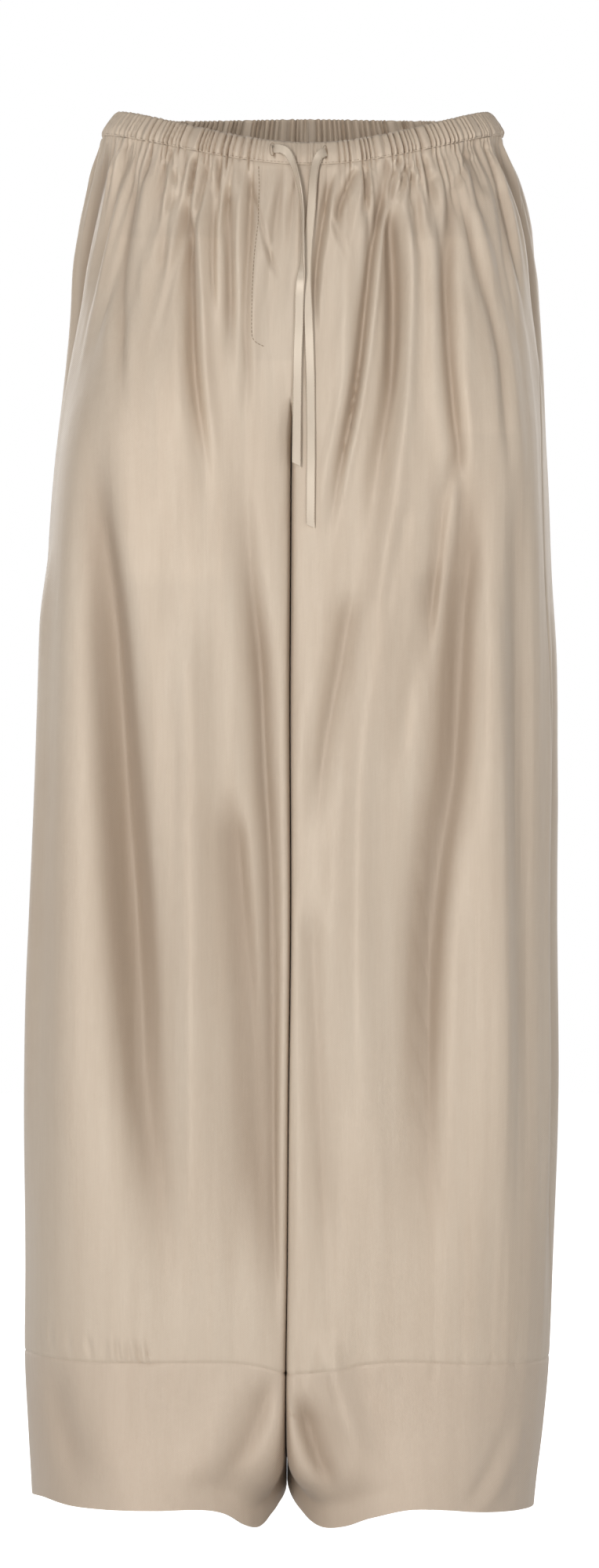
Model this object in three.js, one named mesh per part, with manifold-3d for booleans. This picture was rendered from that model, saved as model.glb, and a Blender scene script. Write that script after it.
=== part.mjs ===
// Wide-leg trousers with a gathered drawstring waist: the hollow cloth form as it is worn, with no wearer.
// Millimetres, +Z up, front towards -Y, the wearer's left towards +X. The origin is the centre of the waist
// opening. Each cut piece is a closed wall of its own, and seams are open by a hair's breadth.
import * as THREE from "three";
import { mergeVertices } from "three/addons/utils/BufferGeometryUtils.js";
import Module from "manifold-3d";

// Cloth and seams.
const CLOTH = 1.4; // wall of one layer of the twill
const CASING = 2.4; // waistband: two layers over the elastic
const HEM_WALL = 2.2; // the deep hem is turned up double
const SEAM_GAP = 0.3;

// Heights, measured down the cloth from the top edge of the waistband.
const BAND_DEPTH = 17.5;
const HEM_DEPTH = 105;
const LENGTH = 1004;
const TOP_EASE = 220; // the waistline's own tilt has died away this far down
const HEM_EASE = 220; // the hem's own dips start this far above it

// The waistline: how high its top edge runs over the origin.
const WAIST_FRONT = -24;
const WAIST_SIDE = 8;
const WAIST_BACK = 16;

// Crotch: where the two rise seams meet the inseams.
const CROTCH_Z = -240;
const CROTCH_Y = 8;
const FRONT_CURVE = 105; // height over which the front rise seam turns under
const BACK_CURVE = 150;
const LEG_START = -50; // from here down the sides take on the shape of the legs
const LEG_GAP = 0.6; // each inner leg stands off the split plane by this much

// Reach of the cloth at stations down the garment: to the wearer's right and left, forwards and backwards.
// split is the x of the centre seams, and below them of the plane between the legs. cornerOut and cornerIn
// are the roundness of a leg's corners: 2 is an ellipse, and more is squarer.
const STATIONS = [
  { z: 8, right: 136, left: 137, front: 99, back: 97, split: 5, cornerOut: 2.2, cornerIn: 3 },
  { z: -6, right: 145.5, left: 145.5, front: 103, back: 101, split: 5, cornerOut: 2.2, cornerIn: 3 },
  { z: -16, right: 148, left: 146.5, front: 105, back: 104, split: 5, cornerOut: 2.2, cornerIn: 3 },
  { z: -41, right: 155, left: 158, front: 109, back: 110, split: 4, cornerOut: 2.2, cornerIn: 3 },
  { z: -70, right: 161.5, left: 166, front: 113, back: 116, split: 3, cornerOut: 2.3, cornerIn: 3 },
  { z: -100, right: 165.5, left: 170, front: 116, back: 122, split: 1, cornerOut: 2.4, cornerIn: 3 },
  { z: -140, right: 168, left: 172.5, front: 118.5, back: 127, split: -2, cornerOut: 2.5, cornerIn: 3 },
  { z: -196, right: 174, left: 176, front: 120, back: 126, split: -6, cornerOut: 2.6, cornerIn: 3 },
  { z: -250, right: 181, left: 179, front: 120, back: 123, split: -8, cornerOut: 2.7, cornerIn: 3 },
  { z: -330, right: 187.5, left: 182.5, front: 119, back: 120, split: -8.5, cornerOut: 2.7, cornerIn: 3.1 },
  { z: -430, right: 192, left: 185, front: 118, back: 118, split: -9, cornerOut: 2.7, cornerIn: 3.3 },
  { z: -580, right: 198, left: 183.5, front: 118, back: 117, split: -8.5, cornerOut: 2.7, cornerIn: 3.6 },
  { z: -710, right: 202, left: 184.5, front: 118, back: 117, split: -10, cornerOut: 2.7, cornerIn: 3.8 },
  { z: -830, right: 203, left: 183, front: 118.5, back: 117.5, split: -11, cornerOut: 2.6, cornerIn: 4 },
  { z: -900, right: 204, left: 181, front: 117.5, back: 118, split: -12, cornerOut: 2.4, cornerIn: 3.6 },
  { z: -950, right: 202, left: 176.5, front: 118, back: 118, split: -12, cornerOut: 2.2, cornerIn: 2.8 },
  { z: -985, right: 200, left: 172, front: 123, back: 117, split: -11.5, cornerOut: 2.1, cornerIn: 2.3 },
  { z: -1004, right: 199, left: 170, front: 126, back: 116, split: -11.5, cornerOut: 2.1, cornerIn: 2.2 },
];
const WAIST_CORNER = 2.1;

// The side seams, as a share of the way round a leg from the inner seam over the front.
const SEAM_STATIONS = [
  { z: 8, right: 0.5, left: 0.48 },
  { z: -150, right: 0.5, left: 0.44 },
  { z: -300, right: 0.5, left: 0.41 },
  { z: -560, right: 0.5, left: 0.425 },
  { z: -830, right: 0.5, left: 0.45 },
  { z: -1004, right: 0.5, left: 0.46 },
];

// How far the hem edge drops below its level round a leg, by share of the way round from the inner seam.
const HEM_DROP = [
  { share: 0, right: -5, left: -9 },
  { share: 0.06, right: 1, left: -1 },
  { share: 0.1, right: 8, left: 6 },
  { share: 0.135, right: 16, left: 13 },
  { share: 0.16, right: 13, left: 15 },
  { share: 0.19, right: 3, left: 12 },
  { share: 0.22, right: -1, left: 5 },
  { share: 0.27, right: -1, left: -2 },
  { share: 0.36, right: -1, left: 3 },
  { share: 0.43, right: -3, left: 6 },
  { share: 0.5, right: 0, left: 8 },
  { share: 0.75, right: 3, left: 3 },
  { share: 1, right: -5, left: -9 },
];

// Gathers: an irregular wave round the waist, raised over a plain inside. It dies away below the band,
// where wider swells take it over.
const GATHER_PITCH = 4.2;
const GATHER_HEIGHT = 0.8;
const GATHER_FADE = 24;
const SWELL_GATHERS = 3; // gathers that run together into one swell
const SWELL_HEIGHT = 0.7;
const SWELL_FADE = 45;
const COLUMN_EASE = 120;
const CASING_BULGE = 1.4;
const FLAT_FRONT = { right: 42, left: 54 }; // the front casing, less gathered, either side of the centre seam
const FLAT_SHARE = 0.45;

// Folds. Each lies in a face of the garment: its middle runs through three points, (across, z), with across
// along x on the front and the back and along y on a side. It is soft over near and far, to the side of
// smaller and of larger across, and its depth is inwards. A negative depth is a ridge.
const FOLDS = [
  { face: "front", from: [-118, -34], via: [-125, -90], to: [-132, -215], near: 6, far: 7, depth: 6 },
  { face: "front", from: [-91, -36], via: [-96, -84], to: [-102, -160], near: 5, far: 5, depth: 4 },
  { face: "front", from: [-79, -40], via: [-84, -110], to: [-76, -235], near: 7, far: 7, depth: 5 },
  { face: "front", from: [-61, -36], via: [-62, -80], to: [-67, -150], near: 4, far: 4, depth: 3.5 },
  { face: "front", from: [-56, -46], via: [-55, -100], to: [-53, -175], near: 7, far: 7, depth: 4 },
  { face: "front", from: [-36, -56], via: [-29, -87], to: [-15, -125], near: 4, far: 4, depth: 3 },
  { face: "front", from: [13, -42], via: [10, -109], to: [11, -180], near: 5, far: 5, depth: 3 },
  { face: "front", from: [60, -40], via: [47, -150], to: [21, -315], near: 6, far: 7, depth: 6 },
  { face: "front", from: [61, -44], via: [67, -110], to: [63, -215], near: 10, far: 10, depth: 5 },
  { face: "front", from: [83, -46], via: [81, -85], to: [83, -125], near: 7, far: 7, depth: 3 },
  { face: "front", from: [114, -36], via: [105, -130], to: [112, -290], near: 8, far: 9, depth: 7 },
  { face: "front", from: [113, -50], via: [126, -110], to: [145, -215], near: 6, far: 6, depth: 5 },
  { face: "front", from: [-38, -36], via: [-33, -300], to: [-16, -800], near: 7, far: 22, depth: 11 },
  { face: "front", from: [-150, -190], via: [-150, -450], to: [-124, -900], near: 22, far: 17, depth: 22 },
  { face: "front", from: [-56, -500], via: [-57, -680], to: [-50, -900], near: 14, far: 14, depth: 5 },
  { face: "front", from: [42, -300], via: [28, -430], to: [0, -610], near: 9, far: 10, depth: 8 },
  { face: "front", from: [122, -310], via: [100, -560], to: [90, -900], near: 14, far: 18, depth: 13 },
  { face: "front", from: [62, -330], via: [60, -520], to: [62, -720], near: 12, far: 12, depth: 4 },
  { face: "front", from: [-100, -250], via: [-92, -330], to: [-96, -470], near: 12, far: 12, depth: 3 },
  { face: "back", from: [-112, -14], via: [-118, -90], to: [-124, -230], near: 8, far: 8, depth: 6 },
  { face: "back", from: [-78, -12], via: [-80, -70], to: [-70, -180], near: 7, far: 7, depth: 5 },
  { face: "back", from: [-44, -10], via: [-40, -60], to: [-46, -130], near: 6, far: 6, depth: 4 },
  { face: "back", from: [40, -10], via: [46, -80], to: [38, -170], near: 7, far: 7, depth: 5 },
  { face: "back", from: [76, -12], via: [72, -80], to: [84, -200], near: 7, far: 7, depth: 5 },
  { face: "back", from: [116, -14], via: [120, -90], to: [112, -250], near: 8, far: 8, depth: 7 },
  { face: "back", from: [-152, -200], via: [-146, -470], to: [-132, -900], near: 20, far: 18, depth: 18 },
  { face: "back", from: [-66, -230], via: [-80, -480], to: [-72, -820], near: 16, far: 16, depth: 9 },
  { face: "back", from: [-30, -200], via: [-26, -420], to: [-30, -760], near: 12, far: 10, depth: 7 },
  { face: "back", from: [34, -210], via: [52, -450], to: [46, -800], near: 14, far: 14, depth: 9 },
  { face: "back", from: [128, -220], via: [120, -520], to: [112, -900], near: 18, far: 20, depth: 17 },
  { face: "right", from: [-34, -30], via: [-30, -120], to: [-20, -300], near: 9, far: 9, depth: 6 },
  { face: "right", from: [36, -30], via: [30, -160], to: [44, -420], near: 10, far: 10, depth: 7 },
  { face: "right", from: [6, -420], via: [-6, -640], to: [4, -880], near: 14, far: 14, depth: 7 },
  { face: "left", from: [-30, -30], via: [-24, -110], to: [-30, -260], near: 9, far: 9, depth: 6 },
  { face: "left", from: [34, -30], via: [40, -160], to: [30, -400], near: 10, far: 10, depth: 7 },
  { face: "left", from: [-40, -320], via: [-44, -560], to: [-46, -900], near: 8, far: 12, depth: 8 },
  { face: "left", from: [30, -460], via: [20, -640], to: [26, -880], near: 14, far: 14, depth: 6 },
];
const FOLD_RISE = 0.12; // share of a fold's length over which it deepens
const FOLD_FALL = 0.45; // and over which it dies away

// Drawstring: two tails of a flat ribbon, out of a worked slot each, with their free ends.
const RIBBON_WIDTH = 6.4;
const RIBBON_THICK = 0.9;
const RIBBON_STEPS = 34;
const SLOT = { width: 3.2, height: 9.4, depth: 2.2 };
const SLOT_Z = -32.5;
const RIGHT_TAIL = {
  slot: -20,
  clear: 3.1, // in front of the cloth, over the other tail
  route: [[-16.5, SLOT_Z], [-13, SLOT_Z], [-6.5, -35], [-2.6, -45], [-0.8, -60], [-0.4, -80], [-1, -118],
    [-3, -155], [-4, -205], [-4.8, -256]],
};
const LEFT_TAIL = {
  slot: 17,
  clear: 1.7,
  route: [[14.6, SLOT_Z], [12.2, SLOT_Z], [8.6, -38], [7, -50], [6.2, -72], [4.4, -100], [3.4, -126],
    [4, -148], [5.4, -192], [5.9, -248], [5.7, -300]],
};

const CHAMPAGNE = 0xcdbfae;
const twill = new THREE.MeshStandardMaterial({ color: CHAMPAGNE, roughness: 0.45, metalness: 0 });
const hemTwill = new THREE.MeshStandardMaterial({ color: 0xc9b9a8, roughness: 0.48, metalness: 0 });
const ribbon = new THREE.MeshStandardMaterial({ color: 0xd6cab8, roughness: 0.4, metalness: 0 });

const clamp = (value, low = 0, high = 1) => Math.min(high, Math.max(low, value));
const mix = (a, b, share) => a + (b - a) * share;
const smooth = (share) => {
  const s = clamp(share);
  return s * s * (3 - 2 * s);
};

// A repeatable number from 0 to 1 for each whole number.
const scatter = (index) => {
  const wave = Math.sin(index * 12.9898 + 4.1) * 43758.5453;
  return wave - Math.floor(wave);
};

// A row of a table at a place between its rows, eased through them by a Catmull-Rom curve.
function between(table, key, place) {
  const rising = table[0][key] < table[table.length - 1][key];
  const order = rising ? table : [...table].reverse();
  const last = order.length - 1;
  const at = clamp(place, order[0][key], order[last][key]);
  let i = 0;
  while (i < last - 1 && order[i + 1][key] < at) i++;
  const rows = [order[Math.max(i - 1, 0)], order[i], order[i + 1], order[Math.min(i + 2, last)]];
  const span = rows[2][key] - rows[1][key];
  const s = (at - rows[1][key]) / span;
  const out = { [key]: at };
  for (const column of Object.keys(order[0])) {
    if (column === key) continue;
    const [before, start, end, after] = rows.map((row) => row[column]);
    const slopeIn = ((end - before) / (rows[2][key] - rows[0][key] || span)) * span;
    const slopeOut = ((after - start) / (rows[3][key] - rows[1][key] || span)) * span;
    out[column] =
      (2 * s ** 3 - 3 * s ** 2 + 1) * start + (s ** 3 - 2 * s ** 2 + s) * slopeIn +
      (3 * s ** 2 - 2 * s ** 3) * end + (s ** 3 - s ** 2) * slopeOut;
  }
  return out;
}

// A line of [x, y] points again, with count + 1 points evenly spaced along it.
function respaced(points, count) {
  const along = [0];
  for (let i = 1; i < points.length; i++)
    along.push(along[i - 1] + Math.hypot(points[i][0] - points[i - 1][0], points[i][1] - points[i - 1][1]));
  const out = [];
  let i = 1;
  for (let k = 0; k <= count; k++) {
    const at = (along[along.length - 1] * k) / count;
    while (i < points.length - 1 && along[i] < at) i++;
    const s = clamp((at - along[i - 1]) / (along[i] - along[i - 1]));
    out.push([mix(points[i - 1][0], points[i][0], s), mix(points[i - 1][1], points[i][1], s)]);
  }
  return out;
}

const OUTLINE_STEPS = 24; // from the centre to a leg's middle, and again from there to the side
const power = (value, exponent) => Math.sign(value) * Math.abs(value) ** (2 / exponent);
const RIGHT_ANGLE = Math.PI / 2;
const arc = (place) =>
  Array.from({ length: OUTLINE_STEPS + 1 }, (_, i) => place((RIGHT_ANGLE * i) / OUTLINE_STEPS));

// Half of the cloth's outline at a height, on the wearer's left (side 1) or right (side -1): from the centre
// or inner seam over the front to the side, and on round the back to the centre or inner seam again.
// Down the hips an ellipse changes into a rounded block, whose centre then folds in to make two legs.
function halfOutline(side, z) {
  const here = between(STATIONS, "z", z);
  const centre = here.split;
  const outer = side > 0 ? here.left : -here.right;
  const inner = centre + side * LEG_GAP;
  const middle = (outer + inner) / 2;
  const half = (outer - inner) / 2;
  const blocky = smooth((LEG_START - z) / (LEG_START - CROTCH_Z));
  const quarter = (reach, curve) => {
    const turnAtMiddle = Math.asin(((middle - centre) / (outer - centre)) ** (WAIST_CORNER / 2));
    const ellipse = (turn) => [
      centre + (outer - centre) * power(Math.sin(turn), WAIST_CORNER),
      reach * power(Math.cos(turn), WAIST_CORNER),
    ];
    const hipInner = arc((t) => ellipse((t / RIGHT_ANGLE) * turnAtMiddle));
    const hipOuter = arc((t) => ellipse(mix(turnAtMiddle, RIGHT_ANGLE, t / RIGHT_ANGLE)));
    const blockInner = arc((t) => [mix(centre, middle, t / RIGHT_ANGLE), reach]);
    const legInner = arc((t) => [
      middle - half * power(Math.cos(t), here.cornerIn),
      reach * power(Math.sin(t), here.cornerIn),
    ]);
    const legOuter = arc((t) => [
      middle + half * power(Math.sin(t), here.cornerOut),
      reach * power(Math.cos(t), here.cornerOut),
    ]);
    const above = clamp((z - CROTCH_Z) / curve);
    const turnedUnder = 1 - Math.sqrt(2 * above - above ** 2);
    const [a, b, c] = [hipInner, blockInner, legInner].map((line) => respaced(line, OUTLINE_STEPS));
    const [d, e] = [hipOuter, legOuter].map((line) => respaced(line, OUTLINE_STEPS));
    const centreHalf = a.map((point, i) => {
      const [x, y] = [0, 1].map((axis) => mix(point[axis], b[i][axis], blocky));
      const outwards = i / OUTLINE_STEPS;
      const parted = mix(turnedUnder, 1 - smooth(above), smooth(outwards * 1.5));
      return [mix(x, c[i][0], parted), mix(y, c[i][1] + CROTCH_Y * (1 - outwards) ** 2, parted)];
    });
    const sideHalf = d.map((point, i) => [0, 1].map((axis) => mix(point[axis], e[i][axis], blocky)));
    return [...centreHalf, ...sideHalf.slice(1)];
  };
  const front = quarter(-here.front, FRONT_CURVE);
  const back = quarter(here.back, BACK_CURVE).reverse();
  return [...front, ...back.slice(1)];
}

// How deep a fold is at a place in its face.
function foldDepth(fold, across, z) {
  const [top, via, end] = [fold.from, fold.via, fold.to];
  const share = (top[1] - z) / (top[1] - end[1]);
  if (share <= 0 || share >= 1) return 0;
  const bend = (top[1] - via[1]) / (top[1] - end[1]);
  const pull = (via[0] - mix(top[0], end[0], bend)) / (bend * (1 - bend));
  const middle = mix(top[0], end[0], share) + pull * share * (1 - share);
  const width = across < middle ? fold.near : fold.far;
  const strength = smooth(share / FOLD_RISE) * smooth((1 - share) / FOLD_FALL);
  return fold.depth * strength * Math.exp(-(((across - middle) / width) ** 2));
}

// All folds at a point of the plain outline with its outward normal, as one depth.
function foldsAt(side, x, y, z, normal) {
  const outwards = normal[0] * side;
  let depth = 0;
  for (const fold of FOLDS) {
    if (fold.face === "front" && normal[1] < 0) depth += foldDepth(fold, x, z) * normal[1] ** 2;
    if (fold.face === "back" && normal[1] > 0) depth += foldDepth(fold, x, z) * normal[1] ** 2;
    if (fold.face === (side > 0 ? "left" : "right") && outwards > 0)
      depth += foldDepth(fold, y, z) * outwards ** 2;
  }
  return depth;
}

// How high the gathers may rise over, or sink below, the plain cloth this far below the band.
function gatherReach(below) {
  const fine = GATHER_HEIGHT * Math.exp(-((below / GATHER_FADE) ** 2));
  const swell = SWELL_HEIGHT * (below / SWELL_FADE) * Math.exp(1 - below / SWELL_FADE);
  return { fine, swell };
}

// The height of the gathers at a distance round the waist from the centre front, and below the band.
function gatherHeight(side, around, below) {
  const { fine, swell } = gatherReach(below);
  const step = Math.floor((2 * around) / GATHER_PITCH + 0.5);
  const crest = step % 2 === 0 ? 1 : -1;
  const uneven = 0.55 + 0.45 * scatter(step * 3 + (side > 0 ? 500 : 0));
  const turns = around / (SWELL_GATHERS * GATHER_PITCH) + 0.2 * Math.sin(around / 19 + side);
  const flat = around < (side > 0 ? FLAT_FRONT.left : FLAT_FRONT.right) ? FLAT_SHARE : 1;
  return flat * (fine * crest * uneven + swell * Math.sin(2 * Math.PI * turns));
}

// How far the casing bulges over its elastic.
const casingBulge = (down) => CASING_BULGE * Math.sin(Math.PI * clamp(down / BAND_DEPTH));

const ringCache = new Map();

// The plain outline at a depth down the cloth, as points with their outward normals and places along it.
function ring(side, down) {
  const key = side * (down + 1);
  if (ringCache.has(key)) return ringCache.get(key);
  const z = -down + WAIST_SIDE * (1 - smooth(down / TOP_EASE));
  const points = halfOutline(side, z);
  const last = points.length - 1;
  const along = [0];
  for (let i = 1; i <= last; i++)
    along.push(along[i - 1] + Math.hypot(points[i][0] - points[i - 1][0], points[i][1] - points[i - 1][1]));
  const normals = points.map((point, i) => {
    const before = points[Math.max(i - 1, 0)];
    const after = points[Math.min(i + 1, last)];
    const dx = (after[0] - before[0]) * side;
    const dy = (after[1] - before[1]) * side;
    const size = Math.hypot(dx, dy);
    return [dy / size, -dx / size];
  });
  const made = { points, normals, along, length: along[last], z };
  ringCache.set(key, made);
  return made;
}

// The distance round a ring at a share of the way round. Columns are evenly spaced in the gathers, and
// further down they keep to the same places of the outline, so that they run straight down a leg.
function aroundAt(line, share, down) {
  const last = line.points.length - 1;
  const place = clamp(share) * last;
  const i = Math.min(Math.floor(place), last - 1);
  const kept = mix(line.along[i], line.along[i + 1], place - i);
  return mix(clamp(share) * line.length, kept, smooth((down - BAND_DEPTH) / COLUMN_EASE));
}

// A point of the cloth's outer face at a distance round from the centre front or inner seam and a depth down,
// or with a thickness of the plain inside behind it.
function clothPoint(side, around, down, thickness = 0) {
  const line = ring(side, down);
  const at = clamp(around, 0, line.length);
  let i = 1;
  while (i < line.along.length - 1 && line.along[i] < at) i++;
  const s = (at - line.along[i - 1]) / (line.along[i] - line.along[i - 1]);
  const pick = (list, axis) => mix(list[i - 1][axis], list[i][axis], s);
  const [x, y] = [pick(line.points, 0), pick(line.points, 1)];
  const size = Math.hypot(pick(line.normals, 0), pick(line.normals, 1));
  const normal = [pick(line.normals, 0) / size, pick(line.normals, 1) / size];
  const share = at / line.length;
  const centreWaist = share < 0.5 ? WAIST_FRONT : WAIST_BACK;
  const waist = mix(centreWaist, WAIST_SIDE, smooth(Math.min(share, 1 - share) * 2));
  const drop = between(HEM_DROP, "share", share)[side > 0 ? "left" : "right"];
  const z =
    -down + waist * (1 - smooth(down / TOP_EASE)) - drop * smooth((down - LENGTH + HEM_EASE) / HEM_EASE);
  const below = Math.max(down - BAND_DEPTH, 0);
  const { fine, swell } = gatherReach(below);
  let out = thickness > 0 ? -thickness - fine - swell : gatherHeight(side, at, below);
  if (down <= BAND_DEPTH) out += casingBulge(down);
  else out -= foldsAt(side, x, y, z, normal);
  return new THREE.Vector3(x + normal[0] * out, y + normal[1] * out, z);
}

// One row of points across a piece, each with its share of the piece's width.
function row(place, columns) {
  return Array.from({ length: columns + 1 }, (_, i) => ({ at: i / columns, point: place(i / columns) }));
}

// A closed wall between an outer and an inner set of rows. Rows may differ in their number of points.
function wall(outerRows, innerRows) {
  const positions = [];
  const triangles = [];
  const numbered = (points) =>
    points.map(({ at, point }) => {
      positions.push(point.x, point.y, point.z);
      return { at, index: positions.length / 3 - 1 };
    });
  const zip = (upper, lower) => {
    let i = 0;
    let j = 0;
    while (i < upper.length - 1 || j < lower.length - 1) {
      const upperMiddle = i < upper.length - 1 ? upper[i].at + upper[i + 1].at : Infinity;
      const lowerMiddle = j < lower.length - 1 ? lower[j].at + lower[j + 1].at : Infinity;
      const next = upperMiddle <= lowerMiddle ? upper[i + 1] : lower[j + 1];
      triangles.push(upper[i].index, lower[j].index, next.index);
      if (upperMiddle <= lowerMiddle) i++;
      else j++;
    }
  };
  const outer = outerRows.map(numbered);
  const inner = innerRows.map(numbered);
  const last = outer.length - 1;
  for (let i = 1; i <= last; i++) {
    zip(outer[i - 1], outer[i]);
    zip(inner[i], inner[i - 1]);
  }
  zip(inner[0], outer[0]);
  zip(outer[last], inner[last]);
  const edge = (rows, end) => rows.map((points, i) => ({ at: i, index: points.at(end).index }));
  zip(edge(outer, 0), edge(inner, 0));
  zip(edge(inner, -1), edge(outer, -1));
  return facingOut(positions, triangles);
}

// A geometry whose faces point out, whichever way round its triangles were listed.
function facingOut(positions, triangles) {
  const corner = (index) => new THREE.Vector3().fromArray(positions, index * 3);
  let volume = 0;
  for (let i = 0; i < triangles.length; i += 3) {
    const [a, b, c] = [corner(triangles[i]), corner(triangles[i + 1]), corner(triangles[i + 2])];
    volume += a.dot(b.cross(c));
  }
  const order = volume < 0 ? [...triangles].reverse() : triangles;
  const geometry = new THREE.BufferGeometry();
  geometry.setAttribute("position", new THREE.Float32BufferAttribute(positions, 3));
  geometry.setIndex(order);
  return geometry;
}

// Rows of a leg's panel below the band: depth down the cloth, and columns across its outer and inner faces.
const PANEL_ROWS = [
  { down: BAND_DEPTH + SEAM_GAP, outer: 96, inner: 24 },
  { down: 26, outer: 96, inner: 24 },
  { down: 40, outer: 48, inner: 24 },
  { down: 58, outer: 36, inner: 24 },
  { down: 80, outer: 30, inner: 22 },
  { down: 106, outer: 26, inner: 20 },
  { down: 134, outer: 24, inner: 20 },
  { down: 163, outer: 22, inner: 18 },
  { down: 189, outer: 20, inner: 18 },
  { down: 211, outer: 20, inner: 18 },
  { down: 227, outer: 20, inner: 18 },
  { down: 236.5, outer: 20, inner: 18 },
  { down: 240, outer: 20, inner: 18 },
  { down: 266, outer: 20, inner: 18 },
  { down: 310, outer: 20, inner: 16 },
  { down: 365, outer: 20, inner: 16 },
  { down: 430, outer: 20, inner: 16 },
  { down: 500, outer: 20, inner: 16 },
  { down: 575, outer: 20, inner: 16 },
  { down: 655, outer: 20, inner: 16 },
  { down: 735, outer: 20, inner: 16 },
  { down: 820, outer: 20, inner: 16 },
  { down: LENGTH - HEM_DEPTH - SEAM_GAP, outer: 20, inner: 16 },
];
const HEM_ROWS = [LENGTH - HEM_DEPTH, 932, 962, 986, LENGTH].map((down) => ({ down, outer: 20, inner: 16 }));

// A front or back piece of one leg, from the centre or inner seam to the side seam.
function legPiece(side, face, rows, thickness) {
  const place = (down, behind) => {
    const line = ring(side, down);
    const seams = between(SEAM_STATIONS, "z", line.z);
    const seam = side > 0 ? seams.left : seams.right;
    const [start, end] = face === "front" ? [0, seam] : [seam, 1];
    const [from, to] = [start, end].map((share) => aroundAt(line, share, down));
    return (at) => {
      const around = aroundAt(line, mix(start, end, at), down);
      return clothPoint(side, clamp(around, from + SEAM_GAP / 2, to - SEAM_GAP / 2), down, behind);
    };
  };
  return wall(
    rows.map(({ down, outer }) => row(place(down, 0), outer)),
    rows.map(({ down, inner }) => row(place(down, thickness), inner)),
  );
}

const BAND_ROWS = [0, 3.5, 14, BAND_DEPTH];
const CASING_COLUMNS = { side: 170, sideInside: 48, front: 46, frontInside: 16 };

// The elasticated casing of one side, from the front casing round to the centre back.
function sideCasing(side) {
  const from = side > 0 ? FLAT_FRONT.left : FLAT_FRONT.right;
  const place = (down, behind) => (at) => {
    const length = ring(side, down).length;
    return clothPoint(side, mix(from + SEAM_GAP / 2, length - SEAM_GAP / 2, at), down, behind);
  };
  return wall(
    BAND_ROWS.map((down) => row(place(down, 0), CASING_COLUMNS.side)),
    BAND_ROWS.map((down) => row(place(down, CASING), CASING_COLUMNS.sideInside)),
  );
}

// The less gathered casing across the centre front.
function frontCasing() {
  const place = (down, behind) => (at) => {
    const around = mix(-FLAT_FRONT.right + SEAM_GAP / 2, FLAT_FRONT.left - SEAM_GAP / 2, at);
    return clothPoint(around < 0 ? -1 : 1, Math.abs(around), down, behind);
  };
  return wall(
    BAND_ROWS.map((down) => row(place(down, 0), CASING_COLUMNS.front)),
    BAND_ROWS.map((down) => row(place(down, CASING), CASING_COLUMNS.frontInside)),
  );
}

const wasm = await Module();
wasm.setup();

const solidOf = (geometry) => {
  const bare = geometry.clone();
  bare.deleteAttribute("normal");
  bare.deleteAttribute("uv");
  const merged = mergeVertices(bare, 1e-4);
  const vertProperties = new Float32Array(merged.attributes.position.array);
  const triVerts = new Uint32Array(merged.index.array);
  return new wasm.Manifold(new wasm.Mesh({ numProp: 3, vertProperties, triVerts }));
};

const geometryOf = (solid) => {
  const mesh = solid.getMesh();
  const geometry = new THREE.BufferGeometry();
  geometry.setAttribute("position", new THREE.Float32BufferAttribute(mesh.vertProperties, 3));
  geometry.setIndex([...mesh.triVerts]);
  return geometry;
};

// The y of the front of the cloth at a place near the centre, for what lies on it. Below the crotch it is the
// plane in front of both legs, where a tail hangs.
function frontY(x, z) {
  if (z < CROTCH_Z + FRONT_CURVE) return -between(STATIONS, "z", z).front;
  const side = x < between(STATIONS, "z", z).split ? -1 : 1;
  const down = -z + WAIST_FRONT * (1 - smooth(-z / TOP_EASE));
  const points = ring(side, down).points.slice(0, OUTLINE_STEPS);
  const [nearest] = [...points].sort((a, b) => Math.abs(a[0] - x) - Math.abs(b[0] - x));
  return nearest[1] - casingBulge(down);
}

// A worked slot for one tail of the drawstring, as a cutter standing in the front casing's face.
function slotCutter(x) {
  const cutter = new THREE.BoxGeometry(SLOT.width, SLOT.depth * 2, SLOT.height);
  cutter.translate(x, frontY(x, SLOT_Z), SLOT_Z);
  return cutter;
}

// One tail: a flat ribbon swept along its route, from the front of its slot to its free end.
function drawstringTail({ slot, clear, route }) {
  const places = [[slot, SLOT_Z], ...route];
  const points = places.map(([x, z]) => new THREE.Vector3(x, frontY(x, z) - clear, z));
  const [w, t, c] = [RIBBON_WIDTH / 2, RIBBON_THICK / 2, RIBBON_THICK / 4];
  const corners = [[w - c, -t], [w, -t + c], [w, t - c], [w - c, t], [-w + c, t], [-w, t - c], [-w, -t + c]];
  const section = new THREE.Shape();
  section.moveTo(-w + c, -t);
  for (const [x, y] of corners) section.lineTo(x, y);
  section.closePath();
  const extrudePath = new THREE.CatmullRomCurve3(points, false, "centripetal");
  return new THREE.ExtrudeGeometry(section, { steps: RIBBON_STEPS, extrudePath, bevelEnabled: false });
}

const trousers = new THREE.Group();

function addPiece(name, geometry, material) {
  const mesh = new THREE.Mesh(geometry, material);
  mesh.name = name;
  trousers.add(mesh);
}

for (const [label, side] of [["right", -1], ["left", 1]]) {
  for (const face of ["front", "back"]) {
    addPiece(`${face}_${label}`, legPiece(side, face, PANEL_ROWS, CLOTH), twill);
    addPiece(`hem_${face}_${label}`, legPiece(side, face, HEM_ROWS, HEM_WALL), hemTwill);
  }
  addPiece(`waistband_${label}`, sideCasing(side), twill);
}

const casing = solidOf(frontCasing())
  .subtract(solidOf(slotCutter(RIGHT_TAIL.slot)))
  .subtract(solidOf(slotCutter(LEFT_TAIL.slot)));
addPiece("waistband_front", geometryOf(casing), twill);
addPiece("drawstring_right", drawstringTail(RIGHT_TAIL), ribbon);
addPiece("drawstring_left", drawstringTail(LEFT_TAIL), ribbon);

export default trousers;
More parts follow.
